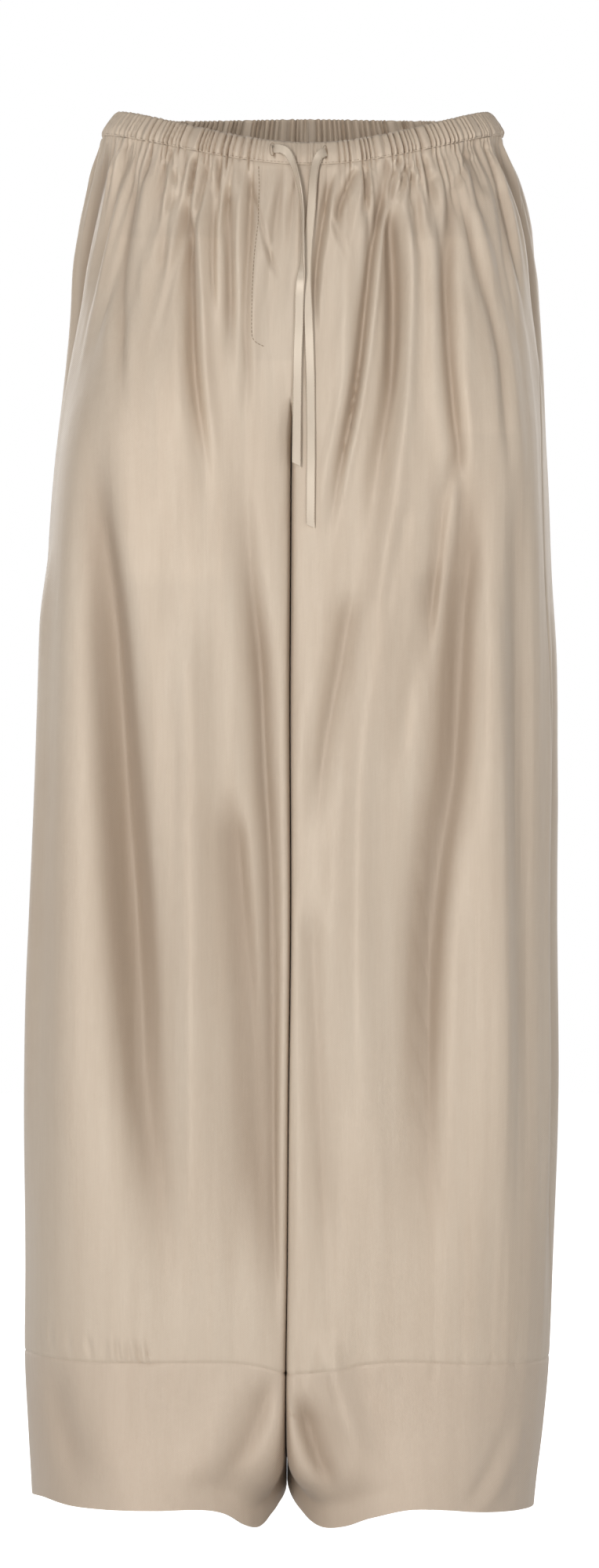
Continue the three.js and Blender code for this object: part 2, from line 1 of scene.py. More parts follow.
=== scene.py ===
"""Wide-leg satin trousers with a gathered drawstring waist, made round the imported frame.

The tables are in millimetres in the row frame, +Z up and front towards -Y, with the origin at the centre
of the waist opening. The front's folds and sewing lie where they do in the picture's own pixels, which
PhotoFrame turns into places. Meshes are in metres.
"""

import logging
import math
from dataclasses import dataclass
from enum import Enum
from typing import Callable, Iterable, Sequence, Union

import bpy
import numpy as np
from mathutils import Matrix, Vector
from mathutils.bvhtree import BVHTree


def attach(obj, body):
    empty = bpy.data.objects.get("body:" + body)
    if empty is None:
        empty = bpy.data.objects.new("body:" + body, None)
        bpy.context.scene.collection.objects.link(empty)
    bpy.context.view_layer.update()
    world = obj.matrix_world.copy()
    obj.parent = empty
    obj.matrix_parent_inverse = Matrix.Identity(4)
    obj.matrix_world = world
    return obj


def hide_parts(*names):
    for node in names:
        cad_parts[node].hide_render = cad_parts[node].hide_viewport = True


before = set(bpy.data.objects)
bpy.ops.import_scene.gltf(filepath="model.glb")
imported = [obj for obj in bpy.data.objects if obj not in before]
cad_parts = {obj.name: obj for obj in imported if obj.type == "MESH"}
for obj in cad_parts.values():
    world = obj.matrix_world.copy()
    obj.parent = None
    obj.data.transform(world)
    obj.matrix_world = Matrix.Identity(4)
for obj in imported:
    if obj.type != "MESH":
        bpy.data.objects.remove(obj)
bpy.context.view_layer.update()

log = logging.getLogger("trousers")
MM = 0.001

Values = Union[np.ndarray, float]

# Cloth and seams.
CLOTH = 0.6
CASING = 2.2
HEM_WALL = 1.2
SEAM_GAP = 0.04
SEAM_REACH = 1.3  # a seam draws in the cloth to about this distance
SEAM_SINK = 0.7  # and by this much
BAND_SINK = 0.4  # the share of it where the gathers run into the waistband
CUFF_SINK = 0.95  # the share of it along the hem's seam
CUFF_START = 800.0  # below this depth a level seam is the hem's
FOLD_FULLNESS = 1.4  # a fold is this many times as deep as its row says

# Heights, measured down the cloth from the top edge of the waistband.
BAND_DEPTH = 17.5
HEM_DEPTH = 105.0
LENGTH = 1004.0
TOP_EASE = 220.0
HEM_EASE = 220.0
WAIST_FRONT = -24.0
WAIST_SIDE = 8.0
WAIST_BACK = 16.0

# Crotch and legs.
CROTCH_Z = -240.0
CROTCH_Y = 8.0
FRONT_CURVE = 34.0
BACK_CURVE = 150.0
LEG_START = -50.0
LEG_GAP = 0.04
WAIST_CORNER = 2.1
OUTLINE_STEPS = 144
COLUMN_EASE = 120.0
CASING_BULGE = 1.4
CASING_EDGE = 1.6  # the casing's edges turn in over this depth
FLOOR_Z = -1056.0


class Side(Enum):
    """The wearer's side, as the sign of its x."""

    RIGHT = -1
    LEFT = 1

    @property
    def label(self) -> str:
        """The side's name in the names of pieces."""
        return self.name.lower()


class Face(Enum):
    """A face of the garment, in which folds lie."""

    FRONT = "front"
    BACK = "back"
    RIGHT = "right"
    LEFT = "left"


@dataclass(frozen=True)
class Station:
    """How far the cloth reaches at a height, where its centre seams are and how round its corners are."""

    z: float
    right: float
    left: float
    front: float
    back: float
    split: float
    corner_out: float
    corner_in: float


STATIONS = (
    Station(8, 136, 137, 99, 97, 5, 2.2, 3),
    Station(-6, 145.5, 145.5, 103, 101, 5, 2.2, 3),
    Station(-16, 148, 146.5, 105, 104, 5, 2.2, 3),
    Station(-41, 155, 158, 109, 110, 4, 2.2, 3),
    Station(-70, 161.5, 166, 113, 116, 3, 2.3, 3),
    Station(-100, 165.5, 170, 116, 122, 1, 2.4, 3),
    Station(-140, 168, 172.5, 118.5, 127, -2, 2.5, 3),
    Station(-196, 174, 176, 120, 126, -6, 2.6, 3),
    Station(-250, 181, 179, 120, 123, -8, 2.7, 3),
    Station(-330, 187.5, 182.5, 119, 120, -8.5, 2.7, 3.1),
    Station(-430, 192, 185, 118, 118, -9, 2.7, 3.3),
    Station(-580, 198, 183.5, 118, 117, -8.5, 2.7, 3.6),
    Station(-710, 202, 184.5, 118, 117, -10, 2.7, 3.8),
    Station(-830, 203, 183, 118.5, 117.5, -11, 2.6, 4),
    Station(-900, 204, 181, 117.5, 118, -12, 2.4, 3.6),
    Station(-950, 202, 176.5, 118, 118, -12, 2.2, 2.8),
    Station(-985, 200, 172, 123, 117, -11.5, 2.1, 2.3),
    Station(-1004, 199, 170, 126, 116, -11.5, 2.1, 2.2),
)

# How much squarer the front inner corner of a leg is than its back one, where the legs hang side by side,
# and the heights where that starts and ends, with the distance over which it comes and goes.
INNER_SQUARE = {Side.RIGHT: 7.0, Side.LEFT: 9.0}
SQUARE_TOP, SQUARE_TOP_EASE = CROTCH_Z + 110, 140
SQUARE_END, SQUARE_END_EASE = -990, 90


@dataclass(frozen=True)
class SeamStation:
    """Where the side seams are at a height, as shares of the way round a leg from its inner seam."""

    z: float
    right: float
    left: float


SEAM_STATIONS = (
    SeamStation(8, 0.5, 0.48),
    SeamStation(-150, 0.5, 0.44),
    SeamStation(-300, 0.5, 0.41),
    SeamStation(-560, 0.5, 0.425),
    SeamStation(-830, 0.5, 0.45),
    SeamStation(-1004, 0.5, 0.46),
)


@dataclass(frozen=True)
class HemDrop:
    """How far the hem edge drops below its level, at a share of the way round each leg."""

    share: float
    right: float
    left: float


HEM_DROP = (
    HemDrop(0, -5, -9),
    HemDrop(0.06, 1, -1),
    HemDrop(0.1, 8, 6),
    HemDrop(0.135, 16, 13),
    HemDrop(0.16, 13, 15),
    HemDrop(0.19, 3, 12),
    HemDrop(0.22, -1, 5),
    HemDrop(0.27, -1, -2),
    HemDrop(0.36, -1, 3),
    HemDrop(0.43, -3, 6),
    HemDrop(0.5, 0, 8),
    HemDrop(0.75, 3, 3),
    HemDrop(1, -5, -9),
)


@dataclass(frozen=True)
class Gather:
    """One size of gather: its pitch, how high it stands, and where below the band it is highest."""

    pitch: float
    height: float
    peak: float
    seed: int


GATHERS = (
    Gather(pitch=4.4, height=2.5, peak=0, seed=3),
    Gather(pitch=8.6, height=2.3, peak=17, seed=5),
    Gather(pitch=15.5, height=2.9, peak=38, seed=7),
    Gather(pitch=30, height=2.8, peak=90, seed=11),
)
GATHER_FADE = 17.0  # the finest gathers have died away about this far below the band
GATHER_END, GATHER_END_EASE = 190, 80  # and the longest ones end here, over this distance
FULLNESS_END = 40  # this far below the band the centre front is as full as the rest
GATHER_FALL = 1.4  # how suddenly the finest gathers die away
GATHER_CREST = 1.3  # how narrow the crests of the longer ones are
GATHER_USUAL, GATHER_VARIES = 0.85, 0.4  # the usual share of a ridge's height, and how it varies
GATHER_LEAST, GATHER_MOST = 0.15, 1.5
GATHER_WANDER = 0.42  # how far a ridge strays from its even place, as a share of its pitch
GATHER_MIDDLE = 0.6  # the share of a ridge's height that lies below the plain cloth
BAND_FULLNESS = 1.55  # the casing's gathers stand this many times as high as those of the legs

# How full the gathers are beside the centre front, by the distance round the waist to the wearer's left.
FRONT_FULLNESS = ((-46, 1), (-38, 0.4), (-30, 0.25), (8, 0.25), (20, 0.4), (30, 0.75), (56, 0.85), (66, 1))


def smooth(share: Values) -> Values:
    """A share from 0 to 1, eased at both ends."""
    s = np.clip(share, 0.0, 1.0)
    return s * s * (3 - 2 * s)


def mix(a: Values, b: Values, share: Values) -> Values:
    """The value a share of the way from a to b."""
    return a + (b - a) * share


def power(value: Values, exponent: float) -> Values:
    """A sine or cosine turned into that of a superellipse."""
    return np.sign(value) * np.abs(value) ** (2 / exponent)


def eased(place: Values, keys: Sequence[float], values: Sequence[float]) -> np.ndarray:
    """Values read off a smooth curve through a table's rows.

    Args:
        place: where to read, in the units of keys.
        keys: the rows' places, rising or falling.
        values: the rows' values.

    Returns:
        The value at each place, held level beyond the ends.
    """
    k, v = np.asarray(keys, float), np.asarray(values, float)
    if k[0] > k[-1]:
        k, v = k[::-1], v[::-1]
    slopes = np.empty_like(v)
    slopes[1:-1] = (v[2:] - v[:-2]) / (k[2:] - k[:-2])
    slopes[0] = (v[1] - v[0]) / (k[1] - k[0])
    slopes[-1] = (v[-1] - v[-2]) / (k[-1] - k[-2])
    at = np.clip(place, k[0], k[-1])
    i = np.clip(np.searchsorted(k, at, side="right") - 1, 0, len(k) - 2)
    span = k[i + 1] - k[i]
    s = (at - k[i]) / span
    start = (2 * s**3 - 3 * s**2 + 1) * v[i] + (s**3 - 2 * s**2 + s) * slopes[i] * span
    return start + (3 * s**2 - 2 * s**3) * v[i + 1] + (s**3 - s**2) * slopes[i + 1] * span


def column(rows: Sequence[object], name: str) -> np.ndarray:
    """One named column of a table."""
    return np.array([getattr(row, name) for row in rows], float)


def read(rows: Sequence[object], place: Values, name: str, key: str = "z") -> np.ndarray:
    """One column of a table, read at places of its key column."""
    return eased(place, column(rows, key), column(rows, name))


def distances(points: np.ndarray) -> np.ndarray:
    """The distance along a flat line of points, at each of them."""
    return np.concatenate([[0.0], np.cumsum(np.hypot(*np.diff(points, axis=0).T))])


def respaced(points: np.ndarray, count: int) -> np.ndarray:
    """A line of points again, with count + 1 of them evenly spaced along it.

    Args:
        points: the line.
        count: how many even steps to take along it.

    Returns:
        The new points.
    """
    along = distances(points)
    at = np.linspace(0, along[-1], count + 1)
    return np.stack([np.interp(at, along, points[:, axis]) for axis in range(points.shape[1])], 1)


class Ripple:
    """A repeatable uneven wave, a seeded sum of sines that is mostly within -1 to 1."""

    def __init__(self, seed: int, across: float, along: float = 1e9, count: int = 12) -> None:
        """Sets the wave's usual length across and along the cloth, in millimetres.

        Args:
            seed: for the draws.
            across: the usual length of a wave across the cloth.
            along: the shortest length of a wave along it.
            count: how many sines to add.
        """
        draw = np.random.default_rng(seed)
        self.across = 2 * np.pi / across * draw.uniform(0.5, 1.5, count)
        self.along = 2 * np.pi / along * draw.uniform(-1, 1, count)
        self.phase = draw.uniform(0, 2 * np.pi, count)

    def __call__(self, across: Values, along: Values = 0.0) -> Values:
        """The wave's height at places across and along the cloth.

        Args:
            across: places across the cloth.
            along: places along it.

        Returns:
            The height at each place.
        """
        waves = zip(self.across, self.along, self.phase)
        total = sum(np.sin(a * across + b * along + c) for a, b, c in waves)
        return total / math.sqrt(len(self.phase))


@dataclass(frozen=True)
class PhotoFrame:
    """The picture's frame and the camera behind it: pixels to millimetres and back."""

    width: int = 764
    height: int = 2000
    eye_x: float = -2.3
    eye_z: float = -484.7
    distance: float = 4000.0
    lens: float = 124.8
    sensor: float = 36.0

    @property
    def step(self) -> float:
        """Millimetres to a pixel in the plane of the origin."""
        return self.sensor / self.lens * self.distance / self.height

    def pixel(self, x: np.ndarray, y: np.ndarray, z: np.ndarray) -> tuple[np.ndarray, np.ndarray]:
        """The pixel across and down that a place is seen at."""
        scale = self.step * (self.distance + y) / self.distance
        return self.width / 2 + (x - self.eye_x) / scale, self.height / 2 - (z - self.eye_z) / scale

    def place(self, across: float, down: float, y: float) -> tuple[float, float, float]:
        """The place at a depth y that is seen at a pixel.

        Args:
            across: pixels from the picture's left side.
            down: pixels from its top.
            y: how far back the place is, in millimetres.

        Returns:
            The place as x, y and z in millimetres.
        """
        scale = self.step * (self.distance + y) / self.distance
        x = self.eye_x + (across - self.width / 2) * scale
        return x, y, self.eye_z + (self.height / 2 - down) * scale


PHOTO = PhotoFrame()


@dataclass(frozen=True)
class Fold:
    """One fold: the line that its middle follows, and its form across that line.

    The line's points are (across, along): picture pixels on the front, (x, z) on the back and (y, z) on a
    side. It is soft over near and far, towards smaller and larger across, in the same units. Depth is in
    millimetres, inwards, and a negative one is a ridge. lip is the share of it that is raised on both sides,
    and rise and fall are the shares of its length over which it comes and goes.
    """

    LIP_PLACE = 2.1

    course: tuple[tuple[float, float], ...]
    near: float
    far: float
    depth: float
    lip: float = 0.25
    rise: float = 0.14
    fall: float = 0.4
    sharp: float = 2.0

    def depth_at(self, across: np.ndarray, along: np.ndarray) -> np.ndarray:
        """How deep the fold is at places in its face, in millimetres.

        Args:
            across: places across the face, in the course's units.
            along: places along it.

        Returns:
            The depth at each place, 0 beyond the fold's ends.
        """
        lines = [point[0] for point in self.course]
        keys = [point[1] for point in self.course]
        share = (along - keys[0]) / (keys[-1] - keys[0])
        out = np.zeros_like(share)
        inside = (share > 0) & (share < 1)
        if not inside.any():
            return out
        at, here, share = across[inside], along[inside], share[inside]
        lean = (eased(here + 1, keys, lines) - eased(here - 1, keys, lines)) / 2
        away = (at - eased(here, keys, lines)) / np.sqrt(1 + lean**2)
        apart = np.abs(away) / np.where(away < 0, self.near, self.far)
        strength = smooth(share / self.rise) * smooth((1 - share) / self.fall)
        form = np.exp(-(apart**self.sharp)) - self.lip * np.exp(-((apart - self.LIP_PLACE) ** 2))
        out[inside] = self.depth * strength * form
        return out


FRONT_FOLDS = (
    # The wearer's right, from the side to the centre.
    Fold(((172, 200), (168, 250), (160, 300), (154, 350), (152, 430), (154, 540)), 9, 7, 4.5),
    Fold(((163, 184), (146, 212), (131, 242), (122, 285)), 6, 5, -2.6, sharp=1.6),
    Fold(((150, 190), (138, 215), (126, 245)), 4, 4, 2.0),
    Fold(((188, 205), (186, 250), (182, 320), (180, 420)), 8, 7, -2.2),
    Fold(((209, 198), (205, 250), (198, 310)), 4, 4, 2.2),
    Fold(((216, 188), (221, 215), (226, 246)), 3, 3, 1.8, sharp=1.6),
    Fold(((224, 240), (214, 270), (208, 310), (203, 370)), 6, 5, 2.4),
    Fold(((230, 235), (238, 275), (243, 320), (245, 380), (249, 480), (258, 560), (266, 660)), 10, 7, 4.6),
    Fold(((249, 200), (245, 225), (240, 260)), 3, 3, 2.2),
    Fold(((257, 240), (257, 330), (262, 460), (272, 600)), 9, 8, -2.4),
    Fold(((268, 205), (271, 260), (271, 340), (273, 440)), 6, 5, 2.6),
    Fold(((278, 194), (278, 240), (277, 290)), 3, 3, 2.0, sharp=1.6),
    Fold(((290, 225), (292, 300), (293, 380), (292, 480)), 8, 8, 3.2),
    Fold(((305, 210), (303, 300), (302, 420)), 6, 6, -1.4),
    Fold(((316, 200), (320, 240), (317, 300), (313, 400), (315, 480), (310, 560)), 6, 5, 2.8),
    Fold(((313, 520), (311, 620), (318, 720), (330, 850), (336, 980), (346, 1100), (353, 1260), (354, 1420),
          (354, 1640), (358, 1780)), 22, 12, 4.6, 0.05, 0.2, 0.2),
    Fold(((321, 244), (332, 280), (340, 312), (352, 346), (366, 366)), 3, 3, 1.4, sharp=1.6),
    # The big soft trough down the wearer's right leg, the ridges beside it, and its inner edge.
    Fold(((104, 450), (116, 640), (134, 800), (154, 1000), (172, 1200), (186, 1400), (208, 1600),
          (216, 1760)), 36, 26, 17, 0.06, 0.3, 0.5),
    Fold(((88, 420), (78, 700), (74, 1000), (78, 1300), (84, 1740)), 26, 30, -6, 0),
    Fold(((210, 330), (216, 450), (222, 560), (226, 760)), 34, 30, -3.6, 0, 0.45),
    Fold(((232, 760), (244, 1000), (248, 1300), (252, 1650)), 24, 28, -6, 0),
    Fold(((290, 980), (312, 1200), (324, 1400), (328, 1700)), 34, 18, 8, 0.1),
    Fold(((322, 700), (338, 900), (345, 1100), (351, 1300), (358, 1560), (358, 1780)), 14, 26, 4.0, 0.1),
    # The wearer's left, from the centre to the side.
    Fold(((427, 208), (420, 240), (411, 290), (404, 340), (402, 390), (406, 450)), 5, 4, 2.6),
    Fold(((455, 212), (444, 238), (434, 265), (431, 300)), 5, 4, 2.6),
    Fold(((470, 210), (456, 250), (446, 310), (440, 400), (430, 520)), 10, 8, -3.0),
    Fold(((421, 276), (436, 312), (447, 340)), 2.6, 2.6, 1.0, sharp=1.6),
    Fold(((467, 208), (466, 245), (463, 290)), 3.4, 3.4, 1.8),
    Fold(((490, 200), (488, 250), (480, 290), (472, 350), (466, 405), (459, 465), (448, 530), (430, 620),
          (412, 720)), 8, 5, 5.4, lip=0.35),
    Fold(((495, 235), (500, 300), (503, 360), (502, 420), (497, 500), (484, 600), (470, 720)), 13, 11, 5.4),
    Fold(((510, 198), (501, 235), (497, 270)), 3.4, 3.4, 2.2),
    Fold(((522, 205), (514, 230), (508, 262)), 3.6, 3.6, 2.4),
    Fold(((521, 260), (523, 340), (522, 440), (516, 600)), 9, 9, -3.4),
    Fold(((531, 205), (525, 236), (526, 270)), 3, 3, 2.0),
    Fold(((534, 220), (533, 260), (532, 330)), 7, 6, 2.8),
    Fold(((541, 196), (546, 230), (550, 255)), 3, 3, 2.0),
    Fold(((553, 215), (549, 260), (552, 310)), 7, 6, 3.0),
    Fold(((570, 205), (577, 245), (575, 300), (572, 360), (573, 430), (580, 520), (590, 620), (592, 720)),
         10, 9, 5.4),
    Fold(((593, 190), (590, 215), (580, 250)), 4, 4, 2.6, sharp=1.6),
    Fold(((586, 232), (600, 290), (614, 350), (630, 405), (642, 460), (648, 540), (655, 640)), 7, 6, 4.0),
    Fold(((607, 260), (622, 320), (640, 380)), 6, 6, -2.0),
    Fold(((600, 196), (612, 222), (624, 256)), 5, 5, 3.0),
    Fold(((622, 184), (635, 205), (646, 228), (656, 262)), 5, 5, 4.0),
    Fold(((640, 232), (645, 290), (650, 370)), 8, 8, 3.4),
    # Down the wearer's left leg: the diagonal wedge, the bright crest, the dark fall and the outer ridge.
    Fold(((452, 740), (434, 850), (416, 940), (405, 1030), (398, 1110)), 15, 10, 4.2, lip=0.25),
    Fold(((520, 440), (510, 600), (496, 710), (478, 850), (464, 960), (458, 1100), (458, 1250), (466, 1400),
          (478, 1520), (488, 1680)), 22, 26, -7.0, 0),
    Fold(((616, 540), (606, 640), (597, 750), (590, 850), (580, 980), (560, 1100), (548, 1220), (544, 1400),
          (546, 1580), (552, 1740)), 34, 20, 10.5, 0.06, 0.2, 0.5),
    Fold(((622, 700), (628, 900), (634, 1100), (638, 1300), (634, 1500), (618, 1700)), 24, 22, -6, 0),
    Fold(((664, 560), (668, 800), (672, 1100), (676, 1400), (674, 1740)), 18, 12, 6.5, 0),
    Fold(((396, 1120), (402, 1300), (410, 1500), (420, 1720)), 16, 16, 4.0, 0.2),
    Fold(((586, 560), (566, 640), (552, 760), (538, 900)), 12, 8, 3.0, 0.3),
    Fold(((556, 700), (540, 800), (520, 900), (506, 1010)), 11, 9, 2.0, 0.2),
    Fold(((520, 640), (500, 740), (484, 820)), 9, 8, 1.6, 0.2),
    # Drag lines and dents at the hems.
    Fold(((668, 1800), (652, 1862), (630, 1905), (604, 1942)), 9, 9, -3.2, 0.6, 0.3, 0.3),
    Fold(((420, 1690), (428, 1750), (452, 1830), (470, 1900)), 20, 16, -5.0, 0.2, 0.3, 0.4),
    Fold(((378, 1770), (392, 1830), (412, 1890), (430, 1930)), 14, 20, 7.0, 0.1, 0.3, 0.4),
    Fold(((350, 1740), (330, 1810), (300, 1880), (280, 1925)), 22, 14, 5.0, 0.2, 0.3, 0.4),
    Fold(((60, 1720), (66, 1780), (84, 1850), (104, 1920)), 14, 22, 6.0, 0.1, 0.3, 0.4),
)


@dataclass(frozen=True)
class Pucker:
    """A short dent across the hem seam, at a pixel of the picture, with its lean and length in pixels."""

    HALF_WIDTH = 3.2
    ABOVE = 0.45  # the share of its length that lies above the seam

    across: float
    down: float
    lean: float
    length: float
    depth: float

    def fold(self) -> Fold:
        """The pucker as a fold of the front.

        Returns:
            The fold, in picture pixels.
        """
        top = (self.across - self.lean * self.ABOVE, self.down - self.length * self.ABOVE)
        end = (self.across + self.lean, self.down + self.length * (1 - self.ABOVE))
        depth = self.depth / FOLD_FULLNESS
        return Fold((top, (self.across, self.down), end), self.HALF_WIDTH, self.HALF_WIDTH, depth,
                    lip=0.4, rise=0.4, fall=0.5, sharp=1.7)


PUCKERS = (
    Pucker(65, 1704, 3, 44, 1.0),
    Pucker(88, 1711, -2, 30, 0.7),
    Pucker(113, 1717, 4, 40, 1.1),
    Pucker(134, 1720, -3, 36, 0.8),
    Pucker(150, 1722, 6, 56, 1.3),
    Pucker(163, 1726, 7, 50, 1.1),
    Pucker(178, 1730, 8, 64, 1.5),
    Pucker(190, 1733, 10, 72, 1.7),
    Pucker(236, 1746, -3, 34, 0.7),
    Pucker(278, 1753, 3, 36, 0.7),
    Pucker(318, 1759, -4, 38, 0.8),
    Pucker(385, 1768, 8, 60, 1.3),
    Pucker(400, 1767, 9, 64, 1.2),
    Pucker(414, 1766, 10, 70, 1.6),
    Pucker(440, 1763, 4, 44, 1.0),
    Pucker(470, 1760, 3, 48, 1.1),
    Pucker(487, 1758, -2, 46, 1.1),
    Pucker(512, 1755, 4, 52, 1.2),
    Pucker(553, 1746, -4, 48, 1.2),
    Pucker(590, 1741, 3, 34, 0.8),
    Pucker(628, 1737, -3, 36, 0.8),
    Pucker(656, 1735, 3, 30, 0.7),
)

BACK_FOLDS = (
    Fold(((-132, -2), (-128, -50), (-131, -130)), 6, 7, 3.6),
    Fold(((-112, 4), (-118, -90), (-124, -230)), 9, 8, 5.4),
    Fold(((-94, 4), (-98, -46), (-92, -110)), 5, 5, 2.6),
    Fold(((-78, 6), (-80, -70), (-70, -190)), 8, 7, 4.6),
    Fold(((-60, 6), (-62, -40), (-58, -100)), 4, 5, 2.4),
    Fold(((-44, 8), (-40, -60), (-47, -140)), 6, 6, 3.8),
    Fold(((-22, 8), (-24, -44), (-18, -96)), 4, 4, 2.2),
    Fold(((24, 8), (22, -38), (28, -86)), 4, 5, 2.2),
    Fold(((40, 8), (46, -80), (38, -180)), 7, 7, 4.8),
    Fold(((60, 6), (57, -50), (64, -116)), 5, 5, 2.6),
    Fold(((76, 4), (72, -80), (84, -210)), 7, 8, 4.8),
    Fold(((98, 4), (95, -60), (100, -130)), 5, 5, 2.8),
    Fold(((116, 2), (120, -90), (112, -260)), 8, 9, 6.0),
    Fold(((136, -2), (134, -60), (140, -150)), 6, 6, 3.4),
    Fold(((-150, -110), (-148, -300), (-140, -560), (-130, -930)), 22, 17, 12, 0.1, 0.35, 0.5),
    Fold(((-112, -210), (-110, -420), (-100, -760)), 16, 18, -5, 0, 0.4, 0.5),
    Fold(((-68, -150), (-70, -300), (-82, -520), (-72, -880)), 17, 16, 8, 0.2, 0.4, 0.5),
    Fold(((-30, -250), (-26, -460), (-30, -820)), 12, 9, 6, 0.2, 0.35, 0.5),
    Fold(((30, -170), (50, -430), (46, -780)), 13, 15, 7, 0.2, 0.4, 0.55),
    Fold(((88, -220), (84, -440), (76, -800)), 14, 16, -5, 0, 0.4, 0.5),
    Fold(((134, -100), (130, -280), (120, -560), (110, -950)), 18, 21, 11, 0.1, 0.4, 0.5),
    Fold(((-96, -640), (-104, -800), (-96, -960)), 12, 14, 5, 0.2, 0.3, 0.4),
    Fold(((84, -680), (92, -820), (86, -960)), 12, 14, 5, 0.2, 0.3, 0.4),
)

RIGHT_FOLDS = (
    Fold(((-62, -4), (-58, -60), (-60, -150)), 6, 6, 3.4),
    Fold(((-34, -2), (-30, -120), (-20, -310)), 9, 9, 5.4),
    Fold(((-8, -2), (-10, -60), (-4, -130)), 5, 5, 2.8),
    Fold(((14, 0), (12, -70), (18, -170)), 6, 6, 3.2),
    Fold(((36, 0), (30, -160), (44, -430)), 10, 10, 6.0),
    Fold(((64, 0), (62, -80), (66, -190)), 7, 7, 3.6),
    Fold(((6, -400), (-6, -640), (4, -900)), 15, 13, 6),
    Fold(((-52, -300), (-60, -520), (-50, -820)), 14, 14, -4, 0),
    Fold(((56, -420), (62, -640), (54, -880)), 12, 14, 4.4),
)

LEFT_FOLDS = (
    Fold(((-58, -4), (-54, -60), (-58, -140)), 6, 6, 3.4),
    Fold(((-30, -2), (-24, -110), (-30, -270)), 9, 9, 5.4),
    Fold(((-6, -2), (-8, -54), (-2, -120)), 5, 5, 2.8),
    Fold(((34, 0), (40, -160), (30, -410)), 10, 10, 6.0),
    Fold(((12, 0), (14, -66), (8, -160)), 6, 6, 3.2),
    Fold(((62, 0), (60, -90), (66, -200)), 7, 7, 3.6),
    Fold(((-40, -320), (-44, -560), (-46, -900)), 8, 12, 6),
    Fold(((30, -440), (20, -640), (26, -900)), 14, 14, 5.4),
    Fold(((62, -360), (68, -560), (60, -860)), 12, 12, -3.6, 0),
)


@dataclass(frozen=True)
class ToneStep:
    """A faint step in tone where a hidden layer ends: a box of picture pixels and how soft its sides are."""

    left: float
    top: float
    right: float
    bottom: float
    strength: float
    blur: float = 5.0

    def amount(self, across: np.ndarray, down: np.ndarray) -> np.ndarray:
        """How far the tone applies at pixels of the picture.

        Args:
            across: pixels from the picture's left side.
            down: pixels from its top.

        Returns:
            The strength at each pixel, 0 outside the box.
        """
        inwards = np.minimum(across - self.left, self.right - across) / self.blur
        below = np.minimum(down - self.top, self.bottom - down) / self.blur
        return self.strength * smooth(inwards) * smooth(below)


TONE_STEPS = (
    ToneStep(150, 300, 286, 742, -0.3),
    ToneStep(520, 300, 602, 738, -0.25),
    ToneStep(570, 300, 662, 555, -0.22),
    ToneStep(321, 212, 392, 462, 0.28),
)


@dataclass
class Line:
    """The plain outline of one side at a depth down the cloth."""

    points: np.ndarray
    normals: np.ndarray
    along: np.ndarray
    z: float

    @property
    def length(self) -> float:
        """The distance round the outline."""
        return float(self.along[-1])


@dataclass
class Patch:
    """A grid of places on the cloth, rows down and columns round."""

    side: Side
    points: np.ndarray
    normals: np.ndarray
    around: np.ndarray
    share: np.ndarray
    down: np.ndarray


